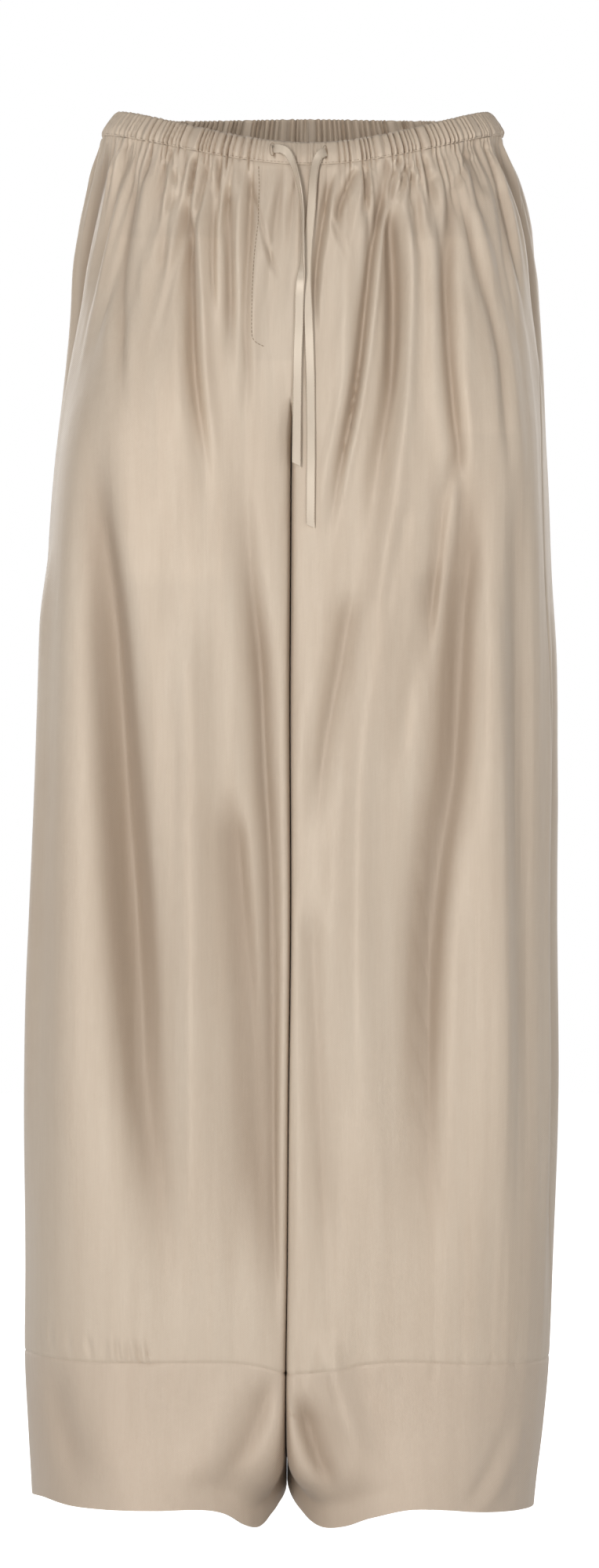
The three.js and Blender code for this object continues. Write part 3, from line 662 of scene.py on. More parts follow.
class TrouserForm:
    """The worn form of the cloth: outlines by depth, waist and hem lines, gathers, folds and creases."""

    LEAST_FACING = 0.02  # cloth that faces less than this towards a side takes none of its folds
    RISE_NARROW = 1.5  # how much nearer than a leg's middle the rise stops turning under
    CREASE_START = 60  # the fine creases reach their height this far below the band
    CREASE_DEPTH = 0.8  # how far they run on round the sides, to a millimetre of depth
    CREASE_SIDE = 0.2  # the share of their height there

    def __init__(self) -> None:
        """Sets up the seeded waves and the front's folds."""
        self.lines: dict[tuple[Side, float], Line] = {}
        self.jitter = {gather.seed: Ripple(gather.seed, gather.pitch * 5) for gather in GATHERS}
        self.uneven = {gather.seed: Ripple(gather.seed + 40, gather.pitch * 2.6, 90) for gather in GATHERS}
        self.creases = (
            (Ripple(21, 34, 620), 0.26),
            (Ripple(22, 13, 260), 0.1),
            (Ripple(23, 6.5, 110), 0.035),
        )
        self.front = (*FRONT_FOLDS, *(pucker.fold() for pucker in PUCKERS))

    def quarter(self, side: Side, z: float, reach: float, curve: float) -> np.ndarray:
        """The outline from the centre or inner seam to the side, over the front or the back.

        Args:
            side: the wearer's side.
            z: the height of the outline.
            reach: the y of the cloth's middle, negative at the front.
            curve: the height over which this rise seam turns under.

        Returns:
            Points (x, y), twice OUTLINE_STEPS and one.
        """
        centre, corner_out, corner_in = (float(read(STATIONS, z, name))
                                         for name in ("split", "corner_out", "corner_in"))
        outer = side.value * float(read(STATIONS, z, side.label))
        inner = centre + side.value * LEG_GAP
        middle, half = (outer + inner) / 2, (outer - inner) / 2
        t = np.linspace(0, math.pi / 2, OUTLINE_STEPS + 1)
        part = t / (math.pi / 2)
        turn = math.asin(((middle - centre) / (outer - centre)) ** (WAIST_CORNER / 2))

        def ellipse(angle: np.ndarray) -> np.ndarray:
            """Points of the hips' ellipse at angles from the centre."""
            x = centre + (outer - centre) * power(np.sin(angle), WAIST_CORNER)
            return np.stack([x, reach * power(np.cos(angle), WAIST_CORNER)], 1)

        if reach < 0:
            squared = smooth((SQUARE_TOP - z) / SQUARE_TOP_EASE) * smooth((z - SQUARE_END) / SQUARE_END_EASE)
            corner_in *= mix(1, INNER_SQUARE[side], float(squared))
        leg_in = np.stack([middle - half * power(np.cos(t), corner_in),
                           reach * power(np.sin(t), corner_in)], 1)
        leg_out = np.stack([middle + half * power(np.sin(t), corner_out),
                            reach * power(np.cos(t), corner_out)], 1)
        a, c = (respaced(line, OUTLINE_STEPS) for line in (ellipse(part * turn), leg_in))
        b = np.stack([c[:, 0] if reach < 0 else mix(centre, middle, part), np.full_like(part, reach)], 1)
        d, e = (respaced(line, OUTLINE_STEPS) for line in (ellipse(mix(turn, math.pi / 2, part)), leg_out))
        blocky = smooth((LEG_START - z) / (LEG_START - CROTCH_Z))
        above = float(np.clip((z - CROTCH_Z) / curve, 0, 1))
        turned_under = 1 - math.sqrt(max(2 * above - above**2, 0))
        parted = mix(turned_under, 1 - smooth(above), smooth(part * self.RISE_NARROW))[:, None]
        c[:, 1] += CROTCH_Y * (1 - part) ** 2
        centre_half = mix(mix(a, b, blocky), c, parted)
        side_half = mix(d, e, blocky)
        return np.concatenate([centre_half, side_half[1:]])

    def line(self, side: Side, down: float) -> Line:
        """The plain outline of one side at a depth down the cloth, kept once it is made.

        Args:
            side: the wearer's side.
            down: the depth, in millimetres.

        Returns:
            The outline, from the centre front round to the centre back.
        """
        key = (side, round(down, 4))
        if key not in self.lines:
            z = -down + WAIST_SIDE * (1 - float(smooth(down / TOP_EASE)))
            front = self.quarter(side, z, -float(read(STATIONS, z, "front")), FRONT_CURVE)
            back = self.quarter(side, z, float(read(STATIONS, z, "back")), BACK_CURVE)[::-1]
            points = np.concatenate([front, back[1:]])
            ahead = np.gradient(points, axis=0) * side.value
            ahead /= np.linalg.norm(ahead, axis=1, keepdims=True)
            normals = np.stack([ahead[:, 1], -ahead[:, 0]], 1)
            self.lines[key] = Line(points, normals, distances(points), z)
        return self.lines[key]

    def around_at(self, line: Line, share: np.ndarray, down: float) -> np.ndarray:
        """The distance round an outline at shares of the way round it.

        Args:
            line: the outline.
            share: shares from 0 to 1.
            down: its depth down the cloth.

        Returns:
            The distances, in millimetres.
        """
        held = np.clip(share, 0, 1)
        kept = np.interp(held * (len(line.along) - 1), np.arange(len(line.along)), line.along)
        even = held * line.length
        return mix(even, kept, float(smooth((down - BAND_DEPTH) / COLUMN_EASE)))

    def seam_share(self, side: Side, z: float) -> float:
        """Where the side seam is, as a share of the way round."""
        return float(read(SEAM_STATIONS, z, side.label))

    def patch(self, side: Side, downs: Sequence[float],
              place: Callable[[Line, float], np.ndarray]) -> Patch:
        """A grid of the plain cloth.

        Args:
            side: the wearer's side.
            downs: the depth of each row down the cloth.
            place: gives a row's distances round from its outline and depth.

        Returns:
            The grid, with its outward horizontal normals.
        """
        rows = []
        for down in downs:
            line = self.line(side, down)
            around = np.clip(place(line, down), 0, line.length)
            values = [np.interp(around, line.along, line.points[:, axis]) for axis in (0, 1)]
            values += [np.interp(around, line.along, line.normals[:, axis]) for axis in (0, 1)]
            share = around / line.length
            centre = np.where(share < 0.5, WAIST_FRONT, WAIST_BACK)
            waist = mix(centre, WAIST_SIDE, smooth(np.minimum(share, 1 - share) * 2))
            drop = read(HEM_DROP, share, side.label, key="share")
            z = -down + waist * (1 - smooth(down / TOP_EASE))
            z = z - drop * smooth((down - LENGTH + HEM_EASE) / HEM_EASE)
            rows.append(np.stack([*values, around, share, z, np.full_like(z, down)], 1))
        grid = np.stack(rows)
        points = np.stack([grid[..., 0], grid[..., 1], grid[..., 6]], -1)
        normals = grid[..., 2:4] / np.linalg.norm(grid[..., 2:4], axis=-1, keepdims=True)
        return Patch(side, points, normals, grid[..., 4], grid[..., 5], grid[..., 7])

    def gathers(self, patch: Patch) -> np.ndarray:
        """How high the gathers stand, in millimetres, as a grid.

        Args:
            patch: the plain cloth.

        Returns:
            The height at each place of the grid.
        """
        waist = self.line(patch.side, BAND_DEPTH).length
        place = patch.share * waist * patch.side.value
        below = np.maximum(patch.down - BAND_DEPTH, 0)
        total = np.zeros_like(place)
        for gather in GATHERS:
            turns = place / gather.pitch + GATHER_WANDER * self.jitter[gather.seed](place)
            crest = 1.0 if gather.peak == 0 else GATHER_CREST
            ridge = np.abs(np.cos(math.pi * turns)) ** crest - GATHER_MIDDLE
            varies = GATHER_VARIES * self.uneven[gather.seed](place, patch.points[..., 2])
            uneven = np.clip(GATHER_USUAL + varies, GATHER_LEAST, GATHER_MOST)
            if gather.peak == 0:
                fade = np.exp(-((below / GATHER_FADE) ** GATHER_FALL))
            else:
                depth = below / gather.peak
                fade = depth * np.exp(1 - depth) * smooth((GATHER_END - below) / GATHER_END_EASE)
            total += gather.height * uneven * ridge * fade
        fullness = eased(place, *zip(*FRONT_FULLNESS))
        return total * mix(fullness, 1, smooth(below / FULLNESS_END))

    def folds(self, patch: Patch) -> np.ndarray:
        """How deep all folds are, in millimetres, as a grid.

        Args:
            patch: the plain cloth.

        Returns:
            The depth at each place of the grid, inwards.
        """
        x, y, z = (patch.points[..., axis] for axis in range(3))
        across, down = PHOTO.pixel(x, y, z)
        outwards = patch.normals[..., 0] * patch.side.value
        backwards = patch.normals[..., 1]
        faces = (
            (self.front, across, down, -backwards),
            (BACK_FOLDS, x, z, backwards),
            (RIGHT_FOLDS if patch.side is Side.RIGHT else LEFT_FOLDS, y, z, outwards),
        )
        total = np.zeros_like(x)
        for folds, place, along, facing in faces:
            weight = np.where(facing > 0, facing**2, 0)
            used = weight > self.LEAST_FACING
            if used.any():
                depth = sum(fold.depth_at(place[used], along[used]) for fold in folds)
                total[used] += depth * weight[used]
        return total * FOLD_FULLNESS

    def fine_creases(self, patch: Patch) -> np.ndarray:
        """The small upright creases of thin cloth, in millimetres, as a grid.

        Args:
            patch: the plain cloth.

        Returns:
            The height at each place of the grid.
        """
        x, y, z = (patch.points[..., axis] for axis in range(3))
        place = x + self.CREASE_DEPTH * y
        height = sum(size * ripple(place, z) for ripple, size in self.creases)
        below = smooth((patch.down - BAND_DEPTH) / self.CREASE_START)
        return height * below * mix(self.CREASE_SIDE, 1, np.abs(patch.normals[..., 1]))


SEAM_COLUMNS = (0, 0.35, 0.8, 1.4, 2.2, 3.4)  # distances from a seam, on a leg's face
FACE_WIDTH = 190  # of this width
FIRST_EVEN = 1.5  # the even columns start this many times as far in as the last close one
TINY = 1e-9


def ends(count: int) -> np.ndarray:
    """Shares across a face of a leg, evenly spaced but closer together beside both of its seams.

    Args:
        count: how many evenly spaced columns lie between the close ones.

    Returns:
        Shares from 0 at one seam to 1 at the other.
    """
    close = np.array(SEAM_COLUMNS) / FACE_WIDTH
    even = np.linspace(close[-1] * FIRST_EVEN, 1 - close[-1] * FIRST_EVEN, count)
    return np.concatenate([close, even, 1 - close[::-1]])


def steps(*stretches: tuple[float, float]) -> list[float]:
    """Depths down the cloth, from the first one given to each of the others in steps of about a size.

    Args:
        stretches: each a depth to reach and the size of the steps to it.

    Returns:
        The depths, rising.
    """
    out = [stretches[0][0]]
    for end, size in stretches[1:]:
        count = max(1, round((end - out[-1]) / size))
        out += list(np.linspace(out[-1], end, count + 1)[1:])
    return out


def grid_normals(points: np.ndarray, outward: np.ndarray) -> np.ndarray:
    """Unit normals of a grid of points, on the side that outward points to.

    Args:
        points: the grid.
        outward: roughly outward x and y at each point.

    Returns:
        A unit vector at each point.
    """
    normal = np.cross(np.gradient(points, axis=1), np.gradient(points, axis=0))
    normal /= np.maximum(np.linalg.norm(normal, axis=-1, keepdims=True), TINY)
    facing = np.sign((normal[..., :2] * outward).sum(-1).mean())
    return normal * facing


def towards_viewer(vectors: np.ndarray) -> np.ndarray:
    """The vectors, each one turned round where it points away from the picture."""
    return vectors * -np.sign(vectors[:, 1:2] + TINY)


def placed(name: str, data: bpy.types.ID) -> bpy.types.Object:
    """A new object in the scene, made of a mesh, curve, lamp or camera.

    Args:
        name: the object's name.
        data: what it shows.

    Returns:
        The object.
    """
    obj = bpy.data.objects.new(name, data)
    bpy.context.scene.collection.objects.link(obj)
    return obj


class Shell:
    """A closed thin wall between an outer and an inner grid of points, as a mesh object."""

    SHARP = math.radians(62)

    def __init__(self, name: str, outer: np.ndarray, inner: np.ndarray,
                 marks: dict[str, np.ndarray]) -> None:
        """Makes the mesh.

        Args:
            name: the piece's name.
            outer: the outer grid, in millimetres.
            inner: the inner grid, of the same shape.
            marks: a grid of numbers for each attribute that the finish reads.
        """
        rows, columns = outer.shape[:2]
        count = rows * columns
        index = np.arange(count).reshape(rows, columns)
        corners = [index[:-1, :-1], index[1:, :-1], index[1:, 1:], index[:-1, 1:]]
        face = np.stack([c.ravel() for c in corners], 1)
        quads = [face, face[:, ::-1] + count]
        rim = np.concatenate([index[0], index[1:, -1], index[-1, -2::-1], index[-2:0:-1, 0]])
        onward = np.roll(rim, -1)
        quads.append(np.stack([rim, onward, onward + count, rim + count], 1))
        vertices = np.concatenate([outer.reshape(-1, 3), inner.reshape(-1, 3)]) * MM
        faces = self.facing_out(vertices, np.concatenate(quads))
        mesh = bpy.data.meshes.new(name)
        mesh.vertices.add(len(vertices))
        mesh.vertices.foreach_set("co", vertices.astype(np.float32).ravel())
        mesh.loops.add(faces.size)
        mesh.loops.foreach_set("vertex_index", faces.astype(np.int32).ravel())
        mesh.polygons.add(len(faces))
        mesh.polygons.foreach_set("loop_start", np.arange(0, faces.size, 4, dtype=np.int32))
        mesh.update(calc_edges=True)
        mesh.validate()
        mesh.shade_smooth()
        mesh.set_sharp_from_angle(angle=self.SHARP)
        for label, values in marks.items():
            attribute = mesh.attributes.new(label, "FLOAT", "POINT")
            both = np.concatenate([values.ravel(), values.ravel()])
            attribute.data.foreach_set("value", both.astype(np.float32))
        self.object = placed(name, mesh)
        self.area = self.grid_area(outer) * MM * MM

    @staticmethod
    def facing_out(vertices: np.ndarray, faces: np.ndarray) -> np.ndarray:
        """The faces, all turned round if they point inwards.

        Args:
            vertices: the mesh's points.
            faces: four of their numbers to a face.

        Returns:
            The faces, in the order that faces out.
        """
        a, b, c, d = (vertices[faces[:, i]] for i in range(4))
        volume = sum(np.einsum("ij,ij->i", a, np.cross(*pair)).sum() for pair in ((b, c), (c, d)))
        return faces if volume > 0 else faces[:, ::-1]

    @staticmethod
    def grid_area(points: np.ndarray) -> float:
        """The area of a grid of points."""
        down, over = points[1:, :-1] - points[:-1, :-1], points[:-1, 1:] - points[:-1, :-1]
        return float(np.linalg.norm(np.cross(down, over), axis=-1).sum())


# Finishes.

Input = Union[bpy.types.NodeSocket, float, Sequence[float]]


class Sketch:
    """A node tree being drawn: adds nodes, sets their inputs and links them."""

    def __init__(self, tree: bpy.types.NodeTree) -> None:
        """Starts on an empty tree."""
        self.tree = tree

    def add(self, kind: str, inputs: dict[str | int, Input] | None = None,
            **settings: object) -> bpy.types.Node:
        """One node, with its settings and its inputs' values or links.

        Args:
            kind: the node's type.
            inputs: by socket name or number, a value or another node's output socket.
            settings: the node's own properties.

        Returns:
            The node.
        """
        node = self.tree.nodes.new(kind)
        for name, value in settings.items():
            setattr(node, name, value)
        for key, value in (inputs or {}).items():
            if isinstance(value, bpy.types.NodeSocket):
                self.tree.links.new(value, node.inputs[key])
            else:
                node.inputs[key].default_value = value
        return node

    def blend(self, factor: Input, first: Input, second: Input) -> bpy.types.NodeSocket:
        """A mix of two colours by a factor.

        Args:
            factor: the share of the second colour.
            first: a colour or a node's output.
            second: the same.

        Returns:
            The blended colour's output.
        """
        node = self.add("ShaderNodeMix", {"Factor": factor}, data_type="RGBA")
        sockets = [s for s in node.inputs if s.type == "RGBA"]
        for socket, value in zip(sockets, (first, second)):
            if isinstance(value, bpy.types.NodeSocket):
                self.tree.links.new(value, socket)
            else:
                socket.default_value = value
        return next(s for s in node.outputs if s.type == "RGBA")

    def sum(self, operation: str, first: Input, second: Input) -> bpy.types.NodeSocket:
        """One step of arithmetic."""
        return self.add("ShaderNodeMath", {0: first, 1: second}, operation=operation).outputs[0]

    def noise(self, place: Input, scale: float, detail: float, **others: float) -> bpy.types.NodeSocket:
        """A noise texture's value."""
        inputs = {"Vector": place, "Scale": scale, "Detail": detail, **others}
        return self.add("ShaderNodeTexNoise", inputs).outputs[0]


def blank(name: str) -> tuple[bpy.types.Material, Sketch]:
    """A new material with nothing in it, and the sketch that fills it.

    Args:
        name: the material's name.

    Returns:
        The material and its sketch.
    """
    material = bpy.data.materials.new(name)
    material.use_nodes = True
    material.node_tree.nodes.clear()
    return material, Sketch(material.node_tree)


Colour = tuple[float, float, float, float]


class WeaveEffect:
    """The shader group that twill cloth and ribbon share: weave, slubs, streaks and clouds of tone."""

    NAME = "Twill weave"
    SOCKETS = (
        ("Light", "INPUT", "NodeSocketColor"),
        ("Shade", "INPUT", "NodeSocketColor"),
        ("Rough", "INPUT", "NodeSocketFloat"),
        ("Streaks", "INPUT", "NodeSocketFloat"),
        ("Color", "OUTPUT", "NodeSocketColor"),
        ("Roughness", "OUTPUT", "NodeSocketFloat"),
        ("Height", "OUTPUT", "NodeSocketFloat"),
    )
    LEAN = math.radians(52)  # of the twill's ribs
    CLOUDS, FLECKS, MIDDLE = 1.1, 0.5, 0.42  # how strong clouds and flecks of tone are, and their middle
    ROUGH_STREAKS = 0.14
    RIB_HEIGHT, THREAD_HEIGHT = 0.16, 0.14  # as shares of the streaks' height

    @classmethod
    def group(cls) -> bpy.types.ShaderNodeTree:
        """The node group, made the first time.

        Returns:
            The group, with colour, roughness and height as its outputs.
        """
        if cls.NAME in bpy.data.node_groups:
            return bpy.data.node_groups[cls.NAME]
        tree = bpy.data.node_groups.new(cls.NAME, "ShaderNodeTree")
        for name, way, kind in cls.SOCKETS:
            tree.interface.new_socket(name, in_out=way, socket_type=kind)
        s = Sketch(tree)
        given = s.add("NodeGroupInput").outputs
        place = s.add("ShaderNodeTexCoord").outputs["Object"]
        stretched = s.add("ShaderNodeMapping", {"Vector": place, "Scale": (1, 1, 0.07)}).outputs[0]
        leaning = s.add("ShaderNodeMapping", {"Vector": place, "Rotation": (0, cls.LEAN, 0)}).outputs[0]
        clouds = s.noise(place, scale=5.5, detail=3.0)
        streaks = s.noise(stretched, scale=95.0, detail=5.0, Roughness=0.62)
        threads = s.noise(stretched, scale=900.0, detail=2.0)
        rib = s.add("ShaderNodeTexWave", {"Vector": leaning, "Scale": 420.0, "Distortion": 1.2,
                                          "Detail Scale": 2.0}).outputs[1]
        centred = s.sum("SUBTRACT", streaks, 0.5)
        spread = s.sum("MULTIPLY", centred, given["Streaks"])
        cloudy = s.sum("MULTIPLY", s.sum("SUBTRACT", clouds, 0.5), cls.CLOUDS)
        fleck = s.sum("MULTIPLY", s.sum("SUBTRACT", threads, 0.5), cls.FLECKS)
        tone = s.sum("ADD", s.sum("ADD", s.sum("ADD", cloudy, spread), fleck), cls.MIDDLE)
        held = s.add("ShaderNodeClamp", {0: tone}).outputs[0]
        colour = s.blend(held, given["Light"], given["Shade"])
        rough = s.sum("ADD", given["Rough"], s.sum("MULTIPLY", centred, cls.ROUGH_STREAKS))
        raised = s.sum("ADD", streaks, s.sum("MULTIPLY", threads, cls.THREAD_HEIGHT))
        height = s.sum("ADD", s.sum("MULTIPLY", rib, cls.RIB_HEIGHT), raised)
        s.add("NodeGroupOutput", {"Color": colour, "Roughness": rough, "Height": height})
        return tree


# Of these, the second is painted shade in the hollows of gathers and folds and in the casing's slots, and
# the third a painted pale highlight along the pressed side edge.
MARKS = ("tone", "hollow", "edge")  # the attributes that the finish reads from each piece


@dataclass(frozen=True)
class SatinTwill:
    """Silky twill: soft broad shine over a fine diagonal weave, with painted shade, darker and warmer, in
    its hollows and a painted pale highlight along a pressed edge.
    """

    name: str = "satin twill"
    light: Colour = (0.610, 0.515, 0.412, 1)
    shade: Colour = (0.535, 0.428, 0.328, 1)
    # The painted shade's darker, warmer colour, for the hollows.
    hollow: Colour = (0.250, 0.165, 0.105, 1)
    # The painted highlight's pale colour, for the pressed side edge.
    edge: Colour = (0.640, 0.650, 0.640, 1)
    rough: float = 0.57
    streaks: float = 0.8
    bump: float = 0.00035
    sheen: float = 0.1
    lustre: float = 0.14
    painted_shade_share: float = 0.5
    tone_share: float = 0.16

    def build(self) -> bpy.types.Material:
        """The material, with the tone steps, the painted shade in hollows and the painted highlight on the
        pressed edge read from its piece's attributes.

        Returns:
            The material, ready for pieces.
        """
        material, s = blank(self.name)
        weave = s.add("ShaderNodeGroup", node_tree=WeaveEffect.group())
        for key in ("Light", "Shade", "Rough", "Streaks"):
            weave.inputs[key].default_value = getattr(self, key.lower())
        tone, hollow, edge = (s.add("ShaderNodeAttribute", attribute_name=name).outputs["Fac"]
                              for name in MARKS)
        # Painted shade: the colour goes darker and warmer where the piece marks a hollow.
        shade_amount = s.sum("MULTIPLY", hollow, self.painted_shade_share)
        shaded_colour = s.blend(shade_amount, weave.outputs["Color"], self.hollow)
        value = s.sum("SUBTRACT", 1.0, s.sum("MULTIPLY", tone, self.tone_share))
        toned = s.add("ShaderNodeHueSaturation", {"Color": shaded_colour, "Value": value}).outputs[0]
        # Painted highlight: the colour turns pale where the piece marks the pressed edge.
        colour = s.blend(edge, toned, self.edge)
        bump = s.add("ShaderNodeBump", {"Height": weave.outputs["Height"], "Distance": self.bump,
                                        "Strength": 0.9}).outputs[0]
        shader = s.add("ShaderNodeBsdfPrincipled", {
            "Base Color": colour, "Roughness": weave.outputs["Roughness"], "Normal": bump,
            "Metallic": self.lustre, "Sheen Weight": self.sheen, "Sheen Roughness": 0.45,
            "Specular IOR Level": 0.55, "IOR": 1.5,
        })
        s.add("ShaderNodeOutputMaterial", {"Surface": shader.outputs[0]})
        return material


@dataclass(frozen=True)
class Thread:
    """Sewing thread: a matt twisted yarn."""

    name: str = "thread"
    light: Colour = (0.36, 0.27, 0.19, 1)
    shade: Colour = (0.20, 0.14, 0.09, 1)
    rough: float = 0.6

    def build(self) -> bpy.types.Material:
        """The material.

        Returns:
            The material, ready for pieces.
        """
        material, s = blank(self.name)
        place = s.add("ShaderNodeTexCoord").outputs["Object"]
        twist = s.add("ShaderNodeTexWave", {"Vector": place, "Scale": 900.0, "Distortion": 2.0},
                      bands_direction="DIAGONAL").outputs[1]
        fuzz = s.noise(place, scale=700.0, detail=2.0)
        colour = s.blend(s.sum("MULTIPLY", s.sum("ADD", twist, fuzz), 0.5), self.light, self.shade)
        bump = s.add("ShaderNodeBump", {"Height": twist, "Distance": 0.0001, "Strength": 0.8}).outputs[0]
        shader = s.add("ShaderNodeBsdfPrincipled", {"Base Color": colour, "Roughness": self.rough,
                                                    "Normal": bump, "Sheen Weight": 0.2})
        s.add("ShaderNodeOutputMaterial", {"Surface": shader.outputs[0]})
        return material


@dataclass(frozen=True)
class StudioWhite:
    """A plain pale floor with a breath of mottle."""

    name: str = "studio floor"
    light: Colour = (0.90, 0.90, 0.90, 1)
    shade: Colour = (0.86, 0.86, 0.855, 1)

    def build(self) -> bpy.types.Material:
        """The material.

        Returns:
            The material, ready for pieces.
        """
        material, s = blank(self.name)
        place = s.add("ShaderNodeTexCoord").outputs["Object"]
        mottle = s.noise(place, scale=3.0, detail=2.0)
        colour = s.blend(mottle, self.light, self.shade)
        seen = s.add("ShaderNodeLightPath").outputs["Is Camera Ray"]
        shader = s.add("ShaderNodeBsdfPrincipled", {"Base Color": colour, "Roughness": 0.8,
                                                    "Emission Color": colour, "Emission Strength": seen})
        s.add("ShaderNodeOutputMaterial", {"Surface": shader.outputs[0]})
        return material


# Pieces.


@dataclass(frozen=True)
class Cut:
    """A sheet as it was cut: width and length in metres, and its area where it isn't a rectangle."""

    width: float
    length: float
    area: float


class Garment:
    """The cloth form and the finishes, shared by all pieces, and the cloth pieces made so far."""

    def __init__(self) -> None:
        """Builds the finishes."""
        self.form = TrouserForm()
        self.twill = SatinTwill().build()
        self.hem_twill = SatinTwill(name="hem twill", light=(0.600, 0.500, 0.400, 1),
                                    shade=(0.525, 0.415, 0.318, 1), streaks=0.35).build()
        self.ribbon = SatinTwill(name="ribbon satin", light=(0.600, 0.515, 0.415, 1),
                                 shade=(0.530, 0.440, 0.345, 1), rough=0.42, streaks=0.3,
                                 bump=0.0002).build()
        self.thread = Thread().build()
        self.made: list[bpy.types.Object] = []

    def finish(self, obj: bpy.types.Object, material: bpy.types.Material, node: str) -> None:
        """Gives a cloth piece its material in a new slot and its body, and hides the imported part of the
        node it stands for.

        Args:
            obj: the piece.
            material: its material.
            node: the row's node that it stands for.
        """
        obj.data.materials.append(material)
        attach(obj, "root")
        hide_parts(node)
        self.made.append(obj)
        log.info("%s: %d faces", obj.name, len(obj.data.polygons))


class Part(Enum):
    """Which part of a leg's face a piece of cloth is."""

    PANEL = "panel"
    HEM = "hem"


@dataclass(frozen=True)
class Fineness:
    """How closely a face of a leg is divided: its columns, and the height of its rows from the top down."""

    columns: int
    hem_columns: int
    gather_row: float
    hip_row: float
    crotch_row: float
    leg_row: float
    hem_row: float


class LegCloth:
    """One front or back panel of a leg, or its hem."""

    CUTS = {
        (Part.PANEL, Face.FRONT): Cut(0.40, 0.90, 0.33),
        (Part.PANEL, Face.BACK): Cut(0.42, 0.94, 0.35),
        (Part.HEM, Face.FRONT): Cut(0.345, 0.105, 0.0362),
        (Part.HEM, Face.BACK): Cut(0.375, 0.105, 0.0393),
    }
    FINENESS = {
        Face.FRONT: Fineness(196, 104, gather_row=1.5, hip_row=3.2, crotch_row=2, leg_row=6.2, hem_row=3.4),
        Face.BACK: Fineness(130, 64, gather_row=2.4, hip_row=5, crotch_row=4, leg_row=9, hem_row=5),
    }
    GATHERS_END, CROTCH_TOP, CROTCH_END = 64, 204, 246  # depths where the height of the rows changes
    SEAM_ROWS = 3  # the rows are closest for this far beside a level seam
    PUCKERED = 40  # and closer for this far above the hem's
    EDGE_START, EDGE_EASE, EDGE_WIDTH = 330, 200, 1.6  # the painted highlight on the pressed edge down the wearer's left side
    EDGE_SHARE, GATHER_SHARE, FOLD_SHARE = 0.55, 0.85, 0.95  # how strong the painted highlight on the pressed edge and the painted shade in gathers and folds are at the most
    GATHER_DARK, GATHER_DARK_END = 1.1, 36  # a gather this deep gets the darkest painted shade, down to about this depth
    FOLD_DARK_TOP, FOLD_DARK = 6.0, 11.0  # a fold this deep gets the darkest painted shade, over the hips and down the legs
    HIPS_END, HIPS_EASE = 120, 260

    def __init__(self, garment: Garment, side: Side, face: Face, part: Part) -> None:
        """Makes the piece.

        Args:
            garment: the shared form and finishes.
            side: the wearer's side.
            face: FRONT or BACK.
            part: the panel or its hem.
        """
        self.side, self.face, self.part = side, face, part
        self.form = garment.form
        hem = part is Part.HEM
        fineness = self.FINENESS[face]
        downs = self.rows(fineness)
        across = ends(fineness.hem_columns if hem else fineness.columns)
        patch = self.form.patch(side, downs, lambda line, down: self.place(line, down, across))
        out = self.form.gathers(patch) - self.form.folds(patch) + self.form.fine_creases(patch)
        out -= self.seams(patch, downs)
        outer = patch.points.copy()
        outer[..., :2] += patch.normals * out[..., None]
        inner = outer - grid_normals(outer, patch.normals) * (HEM_WALL if hem else CLOTH)
        name = f"{'hem_' if hem else ''}{face.value}_{side.label}"
        shell = Shell(f"cloth_{name}", outer, inner, self.marks(patch, outer))
        if hem:
            garment.finish(shell.object, garment.hem_twill, name)
        else:
            garment.finish(shell.object, garment.twill, name)
        self.cut = self.CUTS[part, face]
        log.info("%s: %.3f m2 of cloth, cut %.3f m2", name, shell.area, self.cut.area)
        self.object = shell.object

    def rows(self, fineness: Fineness) -> list[float]:
        """The depths of the piece's rows, from its upper seam down.

        Args:
            fineness: the height of the rows.

        Returns:
            The depths, rising, in millimetres.
        """
        seam = LENGTH - HEM_DEPTH
        if self.part is Part.HEM:
            upper, lower = (seam + self.SEAM_ROWS, 0.7), (LENGTH - 4, fineness.hem_row)
            return steps((seam, 0), upper, lower, (LENGTH, 1))
        top, end = BAND_DEPTH + SEAM_GAP, seam - SEAM_GAP
        return steps(
            (top, 0),
            (top + self.SEAM_ROWS, 0.6),
            (self.GATHERS_END, fineness.gather_row),
            (self.CROTCH_TOP, fineness.hip_row),
            (self.CROTCH_END, fineness.crotch_row),
            (seam - self.PUCKERED, fineness.leg_row),
            (seam - self.SEAM_ROWS - SEAM_GAP, 3.2),
            (end, 0.7),
        )

    def place(self, line: Line, down: float, across: np.ndarray) -> np.ndarray:
        """A row's distances round its outline, from seam to seam.

        Args:
            line: the outline at the row's depth.
            down: that depth.
            across: shares of the way between the piece's seams.

        Returns:
            The distances, in millimetres.
        """
        seam = self.form.seam_share(self.side, line.z)
        start, end = (0.0, seam) if self.face is Face.FRONT else (seam, 1.0)
        around = self.form.around_at(line, mix(start, end, across), down)
        return np.clip(around, around[0] + SEAM_GAP / 2, around[-1] - SEAM_GAP / 2)

    def seams(self, patch: Patch, downs: Sequence[float]) -> np.ndarray:
        """How far each place is drawn in by the seams round the piece.

        Args:
            patch: the plain cloth.
            downs: the depths of its rows.

        Returns:
            The depth at each place of the grid, inwards.
        """
        round_way = np.minimum(patch.around - patch.around[:, :1], patch.around[:, -1:] - patch.around)
        depth = np.asarray(downs)
        rows = depth - depth[0]
        if self.part is Part.PANEL:
            rows = np.minimum(rows, depth[-1] - depth)
        share = np.where(patch.down > CUFF_START, CUFF_SINK, BAND_SINK)
        level = np.exp(-((rows[:, None] / SEAM_REACH) ** 2)) * share
        return SEAM_SINK * np.minimum(np.exp(-((round_way / SEAM_REACH) ** 2)) + level, 1)

